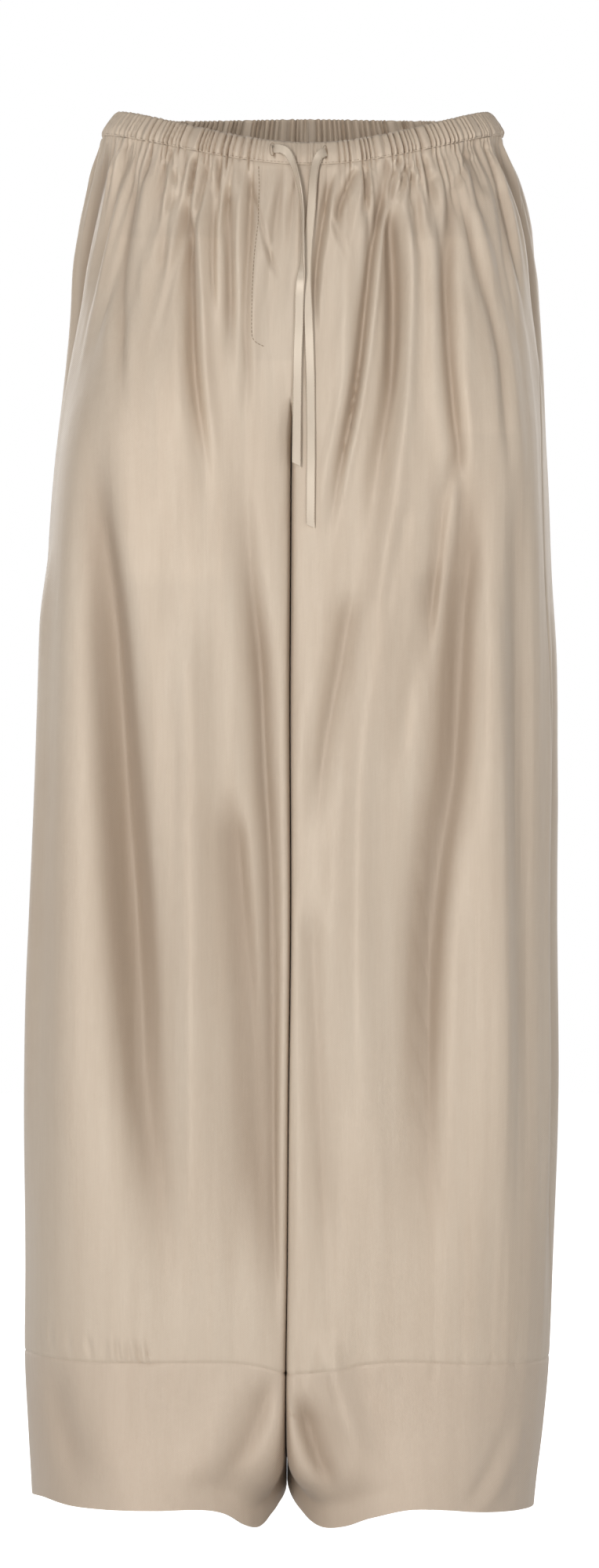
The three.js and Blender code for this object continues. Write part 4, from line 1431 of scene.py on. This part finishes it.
    def marks(self, patch: Patch, outer: np.ndarray) -> dict[str, np.ndarray]:
        """The attributes that the finish reads: tone steps, painted shade in the gather and fold hollows,
        and a painted highlight on the pressed side edge.

        Args:
            patch: the plain cloth.
            outer: the places of the finished face.

        Returns:
            A grid of strengths for each attribute.
        """
        across, down = PHOTO.pixel(*(outer[..., axis] for axis in range(3)))
        tone = np.zeros_like(across)
        edge = np.zeros_like(across)
        if self.face is Face.FRONT:
            tone = sum(step.amount(across, down) for step in TONE_STEPS)
            # On the left front, a painted pale highlight along the pressed side edge.
            if self.side is Side.LEFT:
                last = patch.around[:, -1:] - patch.around
                below = smooth((patch.down - self.EDGE_START) / self.EDGE_EASE)
                edge = self.EDGE_SHARE * np.exp(-((last / self.EDGE_WIDTH) ** 2)) * below
        # Painted shade in the gathers' hollows below the band and in the folds' hollows.
        waves = self.form.gathers(patch)
        fade = np.exp(-(((patch.down - BAND_DEPTH) / self.GATHER_DARK_END) ** 2))
        hollow = smooth(-waves / self.GATHER_DARK) * fade * self.GATHER_SHARE
        legs = smooth((patch.down - self.HIPS_END) / self.HIPS_EASE)
        darkest = mix(self.FOLD_DARK_TOP, self.FOLD_DARK, legs)
        hollow = np.maximum(hollow, smooth(self.form.folds(patch) / darkest) * self.FOLD_SHARE)
        return {"tone": tone, "hollow": hollow, "edge": edge}


@dataclass(frozen=True)
class Buttonhole:
    """A worked slot in the front casing, at a distance round to the wearer's left and a height."""

    around: float
    down: float = 8.9
    half_width: float = 0.9
    half_height: float = 4.2
    depth: float = 1.5

    def form(self, around: np.ndarray, down: np.ndarray) -> np.ndarray:
        """From 0 beside the slot to 1 in it.

        Args:
            around: distances round to the wearer's left.
            down: depths from the top edge.

        Returns:
            The share of its depth at each place.
        """
        away = ((around - self.around) / self.half_width) ** 2
        away += ((down - self.down) / self.half_height) ** 4
        return np.exp(-(away**2))


class Waistband:
    """The casing over the elastic: two gathered sides and a flatter front with two worked slots."""

    FRONT_REACH = {Side.RIGHT: 42.0, Side.LEFT: 54.0}  # from the centre front to the flatter front's ends
    SIDE_COLUMNS = 560
    TOP_ROLL, END_ROLL, END_EDGE = 1.1, 0.6, 1.2  # how far the upper and lower edges turn in
    SEAM_DEPTH, SEAM_WIDTH = 0.7, 0.7  # the groove of the centre seam
    ELASTIC_FLAT, ELASTIC_REACH = 0.2, 4  # how much the elastic flattens the gathers along its middle
    EDGE_WAVE = 0.35  # how much the edges rise and fall with the gathers
    TOP_WAVE, END_WAVE_START, END_WAVE = 5, 12, 5.5  # the depths from the edges where that stops and starts
    FULL_ABOVE = 3  # the casing's gathers are at their fullest this far above its lower edge
    INNER_WAVE, INNER_ROLL, LEAST_WALL = 0.85, 0.8, 0.4  # how the inner face follows, and the thinnest wall
    DARK_GATHER, DARK_SHARE = 1.4, 0.75  # a gather this deep has the darkest painted shade, this strong
    FRONT_COLUMNS = 2.2  # to a millimetre
    SLOTS = (Buttonhole(-25.2), Buttonhole(11.8))

    def __init__(self, garment: Garment) -> None:
        """Makes the three pieces.

        Args:
            garment: the shared form and finishes.
        """
        self.form = garment.form
        self.downs = steps((0, 0), (CASING_EDGE, 0.4), (BAND_DEPTH - CASING_EDGE, 1.25), (BAND_DEPTH, 0.4))
        gap = SEAM_GAP / 2
        for side, reach in self.FRONT_REACH.items():
            patch = self.form.patch(side, self.downs, lambda line, _: np.linspace(
                reach + gap, line.length - gap, self.SIDE_COLUMNS))
            self.piece(garment, f"waistband_{side.label}", *self.surface(patch))
        parts = []
        for side, reach in self.FRONT_REACH.items():
            even = np.linspace(0, reach - gap, round(reach * self.FRONT_COLUMNS))
            patch = self.form.patch(side, self.downs, lambda line, _: even)
            surface = self.surface(patch)
            if side is Side.RIGHT:
                surface = tuple(grid[:, :0:-1] for grid in surface)
            parts.append(surface)
        joined = [np.concatenate(pair, axis=1) for pair in zip(*parts)]
        self.piece(garment, "waistband_front", *joined)

    def surface(self, patch: Patch) -> tuple[np.ndarray, np.ndarray, np.ndarray]:
        """The outer and inner grids of a stretch of casing, and the painted shade in its hollows and slots.

        Args:
            patch: the plain casing.

        Returns:
            The outer grid, the inner grid and the painted shade.
        """
        signed = patch.around * patch.side.value
        down = patch.down
        full = np.clip((BAND_DEPTH - down) / self.FULL_ABOVE, 0, 1)
        waves = self.form.gathers(patch) * mix(1, BAND_FULLNESS, full)
        bulge = CASING_BULGE * np.sin(math.pi * down / BAND_DEPTH)
        top_roll = self.TOP_ROLL * np.clip(1 - down / CASING_EDGE, 0, 1) ** 2
        roll = top_roll + self.END_ROLL * np.clip(1 - (BAND_DEPTH - down) / self.END_EDGE, 0, 1) ** 2
        slots = sum(slot.form(signed, down) * slot.depth for slot in self.SLOTS)
        centre = self.SEAM_DEPTH * np.exp(-((signed / self.SEAM_WIDTH) ** 2))
        firm = 1 - self.ELASTIC_FLAT * np.exp(-(((down - BAND_DEPTH / 2) / self.ELASTIC_REACH) ** 2))
        out = bulge + waves * firm - roll - slots - centre
        outer, inner = patch.points.copy(), patch.points.copy()
        top, end = 1 - down / self.TOP_WAVE, (down - self.END_WAVE_START) / self.END_WAVE
        lift = self.EDGE_WAVE * waves * (np.clip(top, 0, 1) + np.clip(end, 0, 1))
        outer[..., :2] += patch.normals * out[..., None]
        outer[..., 2] += lift
        behind = -CASING + self.INNER_WAVE * waves + self.INNER_ROLL * roll
        behind = np.minimum(behind, out - self.LEAST_WALL)
        inner[..., :2] += patch.normals * behind[..., None]
        inner[..., 2] += lift
        # Painted shade in the gathers' hollows and in the worked slots' openings.
        slot_shade = sum(slot.form(signed, down) for slot in self.SLOTS)
        dark = np.clip(smooth(-waves / self.DARK_GATHER) * self.DARK_SHARE + slot_shade, 0, 1)
        return outer, inner, dark

    def piece(self, garment: Garment, name: str, outer: np.ndarray, inner: np.ndarray,
              dark: np.ndarray) -> None:
        """One piece of the casing, from its grids.

        Args:
            garment: for the finish.
            name: the node's name.
            outer: the outer grid.
            inner: the inner grid.
            dark: the painted shade in its hollows and slots.
        """
        plain = np.zeros_like(dark)
        shell = Shell(f"cloth_{name}", outer, inner, {"tone": plain, "hollow": dark, "edge": plain})
        garment.finish(shell.object, garment.twill, name)
        log.info("%s: %.4f m2", name, shell.area)


class FrontView:
    """Looks along rays of the picture at the front cloth, for what is sewn on or hangs before it."""

    GAP_Y = -110.0  # where a ray that meets no cloth is taken to stop

    def __init__(self, pieces: Iterable[bpy.types.Object]) -> None:
        """Takes the front cloth pieces.

        Args:
            pieces: mesh objects with faces of four corners.
        """
        self.trees = []
        for obj in pieces:
            co = np.empty(len(obj.data.vertices) * 3, np.float32)
            obj.data.vertices.foreach_get("co", co)
            faces = np.empty(len(obj.data.loops), np.int32)
            obj.data.loops.foreach_get("vertex_index", faces)
            tree = BVHTree.FromPolygons(co.reshape(-1, 3).tolist(), faces.reshape(-1, 4).tolist())
            self.trees.append(tree)

    def hit(self, across: float, down: float) -> tuple[Vector, Vector]:
        """The nearest place of the cloth seen at a pixel, in metres, and its normal towards the viewer.

        Args:
            across: pixels from the picture's left side.
            down: pixels from its top.

        Returns:
            The place and its unit normal.
        """
        eye = Vector((PHOTO.eye_x, -PHOTO.distance, PHOTO.eye_z)) * MM
        ray = (Vector(PHOTO.place(across, down, 0.0)) * MM - eye).normalized()
        hits = [tree.ray_cast(eye, ray) for tree in self.trees]
        found = [h for h in hits if h[0] is not None]
        if not found:
            return Vector(PHOTO.place(across, down, self.GAP_Y)) * MM, Vector((0, -1, 0))
        where, normal, _, _ = min(found, key=lambda h: h[3])
        return where, normal if normal.y < 0 else -normal


@dataclass(frozen=True)
class TailRow:
    """One place along a ribbon: its pixel, its turn in degrees, and how far it stands off the cloth."""

    across: float
    down: float
    turn: float
    clear: float


@dataclass(frozen=True)
class Tail:
    """One free end of the drawstring."""

    name: str
    rows: tuple[TailRow, ...]
    slant: float
    length: float


RIGHT_TAIL = Tail(
    "drawstring_right",
    (
        TailRow(347, 189.5, 0, 0.3), TailRow(354, 189.5, 0, 1.6), TailRow(361, 190.5, 8, 3.0),
        TailRow(367, 195, 20, 3.6), TailRow(372, 204, 40, 4.2), TailRow(377, 218, 58, 4.4),
        TailRow(382, 238, 68, 4.4), TailRow(385.5, 263, 76, 4.4), TailRow(386.5, 300, 80, 4.4),
        TailRow(386, 330, 70, 4.4), TailRow(384.5, 347, 40, 4.2), TailRow(383, 360, 12, 3.6),
        TailRow(382, 378, 0, 3.4), TailRow(381.3, 412, 0, 3.3), TailRow(380, 445, 4, 3.3),
        TailRow(379.3, 479, 0, 3.2), TailRow(378.6, 536, -4, 3.2), TailRow(378, 592, 0, 3.2),
    ),
    slant=1.6,
    length=0.245,
)
LEFT_TAIL = Tail(
    "drawstring_left",
    (
        TailRow(416, 193.5, 0, 0.3), TailRow(410.5, 195.5, 0, 1.5), TailRow(405.5, 201, 12, 1.9),
        TailRow(401.5, 213, 24, 2.1), TailRow(399, 232, 20, 2.0), TailRow(397.3, 263, 8, 1.6),
        TailRow(395, 290, 4, 1.4), TailRow(393, 313, 0, 1.3), TailRow(391.5, 338, 0, 1.2),
        TailRow(391.3, 362, 0, 1.2), TailRow(392, 380, 0, 1.3), TailRow(393.2, 402, 0, 1.5),
        TailRow(394.6, 437, 5, 1.9), TailRow(395.8, 479, 0, 2.1), TailRow(396.4, 530, -5, 2.2),
        TailRow(396.6, 578, 0, 2.2), TailRow(396.3, 625, 4, 2.2), TailRow(396, 671, 0, 2.2),
    ),
    slant=1.2,
    length=0.276,
)


class Drawstring:
    """A tail of the flat ribbon, out of its slot and down the front, with the lines its stitches follow."""

    WIDTH, THICK = 6.4, 0.9
    SPACING = 1.6
    PIXEL = 0.56  # millimetres, at the depth where the tails hang
    OUT_OF_SLOT = 8  # the points over which a tail comes out from its slot
    HANG = 0.02  # how little a tail leans back in, for each millimetre that it hangs
    CORNER, SHOULDER = 0.25, 0.9  # where the rounding of its long edges starts and ends
    EDGE_BULGE, MIDDLE_BULGE = 1.05, 0.8  # its thickness there and along its middle, as shares of THICK
    AROUND = 4  # points on both sides whose cloth the ribbon clears
    SOFTEN, SOFT_REACH = 6, 2  # points on both sides over which its depth is evened, and the curve's reach
    CUT_REACH = 1.2  # points over which the cut end slants
    EDGE_LIFT = 0.55  # how high its edge stitches lie, as a share of THICK
    STITCH_START, STITCH_END = 4, -2  # the points where they start and stop
    SHARP = math.radians(50)

    def __init__(self, garment: Garment, view: FrontView, tail: Tail) -> None:
        """Makes the ribbon and the path of its middle.

        Args:
            garment: for the ribbon's finish.
            view: finds the cloth that the ribbon hangs before.
            tail: the places that it passes and its cut end.
        """
        line, turns = self.centreline(view, tail)
        tangent = np.gradient(line, axis=0)
        tangent /= np.linalg.norm(tangent, axis=1, keepdims=True)
        level = np.stack([-tangent[:, 2], np.zeros(len(line)), tangent[:, 0]], 1)
        level /= np.linalg.norm(level, axis=1, keepdims=True)
        level *= np.where(level[:, :1] < 0, -1, 1)
        outwards = towards_viewer(np.cross(level, tangent))
        angle = np.radians(turns)[:, None]
        self.line, self.across = line, level * np.cos(angle) + outwards * np.sin(angle)
        self.up = towards_viewer(np.cross(self.across, tangent))
        self.tangent = tangent
        obj = self.sweep(tail)
        obj.data.materials.append(garment.ribbon)
        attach(obj, "root")
        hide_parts(tail.name)
        real = float(np.linalg.norm(np.diff(line, axis=0), axis=1).sum()) * MM
        log.info("%s: %.3f m along its middle", tail.name, real)
        self.object = obj
        self.path = [tuple(point) for point in line * MM]

    def centreline(self, view: FrontView, tail: Tail) -> tuple[np.ndarray, np.ndarray]:
        """The ribbon's middle line in millimetres, and its turn at each point in degrees.

        Args:
            view: finds the cloth behind the ribbon.
            tail: the places it passes.

        Returns:
            The points of the line and the turns at them.
        """
        rows = np.array([[r.across, r.down, r.turn, r.clear] for r in tail.rows])
        along = distances(rows[:, :2])
        at = np.linspace(0, along[-1], round(along[-1] * self.PIXEL / self.SPACING) + 1)
        across, down, turn, clear = (eased(at, along, rows[:, i]) for i in range(4))
        depth = np.array([view.hit(a, d)[0].y / MM for a, d in zip(across, down)])
        ahead = np.array([depth[max(i - self.AROUND, 0):i + self.AROUND + 1].min()
                          for i in range(len(depth))])
        spread = np.exp(-np.linspace(-self.SOFT_REACH, self.SOFT_REACH, 2 * self.SOFTEN + 1) ** 2)
        padded = np.pad(ahead, self.SOFTEN, mode="edge")
        level = np.convolve(padded, spread / spread.sum(), mode="valid")
        for i in range(1, len(level)):
            level[i] = min(level[i], level[i - 1] + self.HANG * self.SPACING)
        y = np.where(at < self.OUT_OF_SLOT, mix(depth, level, at / self.OUT_OF_SLOT), level) - clear
        line = np.array([PHOTO.place(a, d, v) for a, d, v in zip(across, down, y)])
        return line, turn

    def sweep(self, tail: Tail) -> bpy.types.Object:
        """The ribbon's mesh, with rounded edges and a slanted cut end.

        Args:
            tail: for its name and the slant of its cut end.

        Returns:
            The ribbon as an object.
        """
        w, t = self.WIDTH / 2, self.THICK / 2
        edge = [(self.CORNER, t), (self.SHOULDER, t * self.EDGE_BULGE)]
        middle = (0, -t * self.MIDDLE_BULGE)
        back = [*((a - w, -b) for a, b in edge), middle, *((w - a, -b) for a, b in edge[::-1])]
        form = np.array([(-w, 0), *back, (w, 0), *((-a, -b) for a, b in back)])
        rings = (self.line[:, None] + self.across[:, None] * form[None, :, :1]
                 + self.up[:, None] * form[None, :, 1:])
        slanted = np.exp(-np.arange(len(self.line))[::-1] / self.CUT_REACH)[:, None, None]
        rings = rings + self.tangent[:, None] * slanted * (form[None, :, :1] / w * tail.slant)
        rows, sides = rings.shape[:2]
        faces = []
        for i in range(rows - 1):
            for j in range(sides):
                k = (j + 1) % sides
                faces.append((i * sides + j, i * sides + k, (i + 1) * sides + k, (i + 1) * sides + j))
        faces.append(tuple(range(sides - 1, -1, -1)))
        faces.append(tuple(range((rows - 1) * sides, rows * sides)))
        mesh = bpy.data.meshes.new(f"ribbon_{tail.name}")
        mesh.from_pydata([tuple(p) for p in rings.reshape(-1, 3) * MM], [], faces)
        mesh.update()
        middle = Vector(rings.reshape(-1, 3).mean(0) * MM)
        corners = [[mesh.vertices[i].co - middle for i in face[:3]] for face in faces]
        if sum(a.dot(b.cross(c)) for a, b, c in corners) < 0:
            mesh.flip_normals()
        mesh.shade_smooth()
        mesh.set_sharp_from_angle(angle=self.SHARP)
        for label in MARKS:
            mesh.attributes.new(label, "FLOAT", "POINT")
        return placed(f"ribbon_{tail.name}", mesh)

    def edge(self, share: float) -> np.ndarray:
        """A line along the ribbon's face, at a share of its half width, in millimetres."""
        lifted = self.line + self.across * (share * self.WIDTH / 2) + self.up * (self.THICK * self.EDGE_LIFT)
        return lifted[self.STITCH_START:self.STITCH_END]


@dataclass(frozen=True)
class Stitch:
    """A kind of stitch: its pitch, length and the thread's radius in metres, and how uneven it is."""

    pitch: float
    length: float
    radius: float
    unevenness: float = 0.12


class StitchMaker:
    """Rows of stitches by geometry nodes: a thread laid at even steps along a line."""

    def __init__(self, material: bpy.types.Material) -> None:
        """Draws the tree.

        Args:
            material: the thread's finish.
        """
        self.material = material
        self.tree = bpy.data.node_groups.new("Stitch row", "GeometryNodeTree")
        face = self.tree.interface
        face.new_socket("Geometry", in_out="INPUT", socket_type="NodeSocketGeometry")
        for name in ("Pitch", "Stitch Length", "Thread Radius", "Unevenness"):
            face.new_socket(name, in_out="INPUT", socket_type="NodeSocketFloat")
        face.new_socket("Seed", in_out="INPUT", socket_type="NodeSocketInt").default_value = 1
        face.new_socket("Geometry", in_out="OUTPUT", socket_type="NodeSocketGeometry")
        s = Sketch(self.tree)
        given = s.add("NodeGroupInput").outputs
        dots = s.add("GeometryNodeResampleCurve", {"Curve": given["Geometry"], "Length": given["Pitch"]},
                     mode="LENGTH").outputs[0]
        bar = s.add("GeometryNodeMeshCylinder", {"Vertices": 6, "Radius": given["Thread Radius"],
                                                 "Depth": given["Stitch Length"]}).outputs["Mesh"]
        ahead = s.add("GeometryNodeInputTangent").outputs[0]
        turned = s.add("FunctionNodeAlignRotationToVector", {"Vector": ahead}, axis="Z").outputs[0]
        low = s.sum("SUBTRACT", 1.0, given["Unevenness"])
        high = s.sum("ADD", 1.0, given["Unevenness"])
        draw = s.add("FunctionNodeRandomValue", {"Seed": given["Seed"]}, data_type="FLOAT")
        numbers = [socket for socket in draw.inputs
                   if socket.type == "VALUE" and socket.name in ("Min", "Max")]
        for socket, value in zip(numbers, (low, high)):
            self.tree.links.new(value, socket)
        size = next(socket for socket in draw.outputs if socket.type == "VALUE" and socket.enabled)
        laid = s.add("GeometryNodeInstanceOnPoints", {"Points": dots, "Instance": bar, "Rotation": turned,
                                                      "Scale": size}).outputs[0]
        real = s.add("GeometryNodeRealizeInstances", {"Geometry": laid}).outputs[0]
        done = s.add("GeometryNodeSetMaterial", {"Geometry": real, "Material": material}).outputs[0]
        s.add("NodeGroupOutput", {"Geometry": done})

    def row(self, name: str, lines: Sequence[np.ndarray], slot: str, seed: int, stitch: Stitch) -> None:
        """One piece of stitches along lines on the cloth.

        Args:
            name: the piece's name.
            lines: each an array of points, in millimetres.
            slot: not used.
            seed: for the thread's unevenness.
            stitch: the kind of stitch.
        """
        curve = bpy.data.curves.new(name + "_line", "CURVE")
        curve.dimensions = "3D"
        for points in lines:
            spline = curve.splines.new("POLY")
            spline.points.add(len(points) - 1)
            flat = np.concatenate([np.asarray(points) * MM, np.ones((len(points), 1))], 1)
            spline.points.foreach_set("co", flat.astype(np.float32).ravel())
        guide = placed(name + "_line", curve)
        modifier = guide.modifiers.new("Stitches", "NODES")
        modifier.node_group = self.tree
        inputs = {item.name: item.identifier for item in self.tree.interface.items_tree
                  if item.in_out == "INPUT"}
        values = {"Pitch": stitch.pitch, "Stitch Length": stitch.length, "Thread Radius": stitch.radius,
                  "Unevenness": stitch.unevenness, "Seed": seed}
        for key, value in values.items():
            modifier[inputs[key]] = value
        graph = bpy.context.evaluated_depsgraph_get()
        mesh = bpy.data.meshes.new_from_object(guide.evaluated_get(graph), depsgraph=graph)
        mesh.name = name
        bpy.data.objects.remove(guide)
        obj = placed(name, mesh)
        if not mesh.materials:
            mesh.materials.append(self.material)
        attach(obj, "root")
        log.info("%s: %d faces", name, len(mesh.polygons))


class Sewing:
    """All visible stitching: the mock fly's curve, the casing's seam, the worked slots and the ribbons."""

    FLY = ((330, 214), (330.5, 240), (329, 285), (325, 320), (322, 366), (321, 412), (322, 430), (327, 437),
           (335, 441))
    SLOTS = ((347.5, 190.5), (414.5, 194))
    SLOT_OVAL = (3.3, 8.2)
    SLOT_POINTS = 49
    FLY_STITCH = Stitch(0.0028, 0.0018, 0.00028)
    CASING_STITCH = Stitch(0.0027, 0.0018, 0.00016)
    SLOT_STITCH = Stitch(0.0005, 0.0007, 0.00022)
    RIBBON_STITCH = Stitch(0.0021, 0.0015, 0.00012)
    RIBBON_EDGE = 0.86  # where a ribbon's two rows run, as a share of its half width
    LINE_STEP = 1.5
    CASING_POINTS = 900
    OFF = 0.1  # how far thread lies off the cloth
    FLY_OFF = 0.12

    def __init__(self, garment: Garment, view: FrontView, tails: Sequence[Drawstring]) -> None:
        """Sews everything.

        Args:
            garment: the cloth form and the thread.
            view: finds the cloth that the front's lines lie on.
            tails: the right and left tails of the drawstring.
        """
        maker = StitchMaker(garment.thread)
        self.view = view
        maker.row("stitches_fly", [self.on_cloth(self.curve(self.FLY), self.FLY_OFF)], "twill", 4,
                  self.FLY_STITCH)
        casing = [self.casing_line(garment.form, side) for side in Side]
        maker.row("stitches_casing", casing, "twill", 5, self.CASING_STITCH)
        loops = [self.on_cloth(self.oval(*place), self.OFF) for place in self.SLOTS]
        maker.row("stitches_slots", loops, "twill", 6, self.SLOT_STITCH)
        for tail, side, first, seed in ((tails[0], Side.RIGHT, 1, 7), (tails[1], Side.LEFT, -1, 8)):
            lines = [tail.edge(share * self.RIBBON_EDGE) for share in (first, -first)]
            maker.row(f"stitches_{side.label}_ribbon", lines, "ribbon", seed, self.RIBBON_STITCH)

    def curve(self, course: Sequence[tuple[float, float]]) -> list[tuple[float, float]]:
        """Pixels at even steps along a smooth curve through some of them.

        Args:
            course: the pixels to pass through.

        Returns:
            The pixels along the curve.
        """
        rows = np.array(course, float)
        along = distances(rows)
        at = np.linspace(0, along[-1], round(along[-1] / self.LINE_STEP) + 1)
        return list(zip(eased(at, along, rows[:, 0]), eased(at, along, rows[:, 1])))

    def oval(self, across: float, down: float) -> list[tuple[float, float]]:
        """Pixels round a worked slot.

        Args:
            across: the slot's middle, across the picture.
            down: and down it.

        Returns:
            The pixels, the last one the same as the first.
        """
        width, height = self.SLOT_OVAL
        turns = np.linspace(0, 2 * math.pi, self.SLOT_POINTS)
        return [(across + width * math.cos(t), down + height * math.sin(t)) for t in turns]

    def on_cloth(self, pixels: Iterable[tuple[float, float]], off: float) -> np.ndarray:
        """A line of picture pixels laid on the front cloth, in millimetres."""
        places = [self.view.hit(across, down) for across, down in pixels]
        return np.array([tuple(where / MM + normal * off) for where, normal in places])

    def casing_line(self, form: TrouserForm, side: Side) -> np.ndarray:
        """The seam under the casing of one side, in millimetres.

        Args:
            form: the cloth form.
            side: the wearer's side.

        Returns:
            The points of the line.
        """
        patch = form.patch(side, [BAND_DEPTH - CASING_EDGE],
                           lambda line, _: np.linspace(1, line.length - 1, self.CASING_POINTS))
        bulge = CASING_BULGE * math.sin(math.pi * (1 - CASING_EDGE / BAND_DEPTH))
        out = form.gathers(patch) + bulge + self.OFF
        points = patch.points.copy()
        points[..., :2] += patch.normals * out[..., None]
        return points[0]


class Studio:
    """The camera at the picture's angle, soft lights and a pale floor."""

    @dataclass(frozen=True)
    class Lamp:
        """A soft area light: where it is, how big and how strong."""

        name: str
        place: tuple[float, float, float]
        size: tuple[float, float]
        watts: float
        colour: tuple[float, float, float]

    LAMPS = (
        Lamp("key", (-1.3, -4.2, 0.2), (0.8, 2.0), 96, (1.0, 0.985, 0.965)),
        Lamp("front", (1.8, -3.7, 0.1), (0.7, 2.0), 26, (1.0, 0.99, 0.98)),
        Lamp("side", (3.0, -1.2, -0.2), (1.0, 2.4), 20, (1.0, 0.99, 0.98)),
        Lamp("fill", (-3.0, -1.2, 0.0), (1.0, 2.4), 16, (0.95, 0.975, 1.0)),
        Lamp("back_left", (-1.8, 2.4, 0.6), (1.4, 2.2), 34, (0.96, 0.98, 1.0)),
        Lamp("back_right", (1.8, 2.4, 0.6), (1.4, 2.2), 34, (0.96, 0.98, 1.0)),
    )
    TARGET = Vector((0, 0, -0.5))
    AMBIENT = 0.15
    FLOOR_REACH = 6.0

    def camera(self) -> None:
        """Sets up the camera, level and square on."""
        data = bpy.data.cameras.new("camera")
        data.lens, data.sensor_width = PHOTO.lens, PHOTO.sensor
        data.clip_start, data.clip_end = 0.1, 60
        data.dof.use_dof = False
        camera = placed("camera", data)
        camera.location = (PHOTO.eye_x * MM, -PHOTO.distance * MM, PHOTO.eye_z * MM)
        camera.rotation_euler = (math.radians(90), 0, 0)
        bpy.context.scene.camera = camera

    def lights(self) -> None:
        """Sets up the lamps, the even white surroundings and the floor."""
        for lamp in self.LAMPS:
            data = bpy.data.lights.new(lamp.name, "AREA")
            data.shape, data.size, data.size_y = "RECTANGLE", *lamp.size
            data.energy, data.color = lamp.watts, lamp.colour
            obj = placed(lamp.name, data)
            obj.location = lamp.place
            aim = self.TARGET - Vector(lamp.place)
            obj.rotation_euler = aim.to_track_quat("-Z", "Y").to_euler()
        world = bpy.data.worlds.new("studio")
        world.use_nodes = True
        world.node_tree.nodes.clear()
        s = Sketch(world.node_tree)
        seen = s.add("ShaderNodeLightPath").outputs["Is Camera Ray"]
        strength = s.add("ShaderNodeMapRange", {0: seen, 3: self.AMBIENT, 4: 1.0}).outputs[0]
        surround = s.add("ShaderNodeBackground", {"Color": (1, 1, 1, 1), "Strength": strength}).outputs[0]
        s.add("ShaderNodeOutputWorld", {"Surface": surround})
        bpy.context.scene.world = world
        mesh = bpy.data.meshes.new("floor")
        corners = [(x * self.FLOOR_REACH, y * self.FLOOR_REACH, FLOOR_Z * MM)
                   for x, y in ((-1, -1), (1, -1), (1, 1), (-1, 1))]
        mesh.from_pydata(corners, [], [(0, 1, 2, 3)])
        mesh.materials.append(StudioWhite().build())
        floor = placed("floor", mesh)
        bpy.context.scene.view_settings.view_transform = "Standard"


def main() -> None:
    """Builds the studio, the cloth, the drawstring and the sewing in order."""
    logging.basicConfig(level=logging.INFO, format="%(name)s %(message)s")
    studio = Studio()
    studio.camera()
    garment = Garment()
    panels = [LegCloth(garment, side, face, part)
              for side in Side for face in (Face.FRONT, Face.BACK) for part in Part]
    Waistband(garment)
    front = [obj for obj in garment.made if "front" in obj.name or "waistband" in obj.name]
    view = FrontView(front)
    tails = [Drawstring(garment, view, tail) for tail in (RIGHT_TAIL, LEFT_TAIL)]
    Sewing(garment, view, tails)
    studio.lights()


if __name__ == "__main__":
    main()
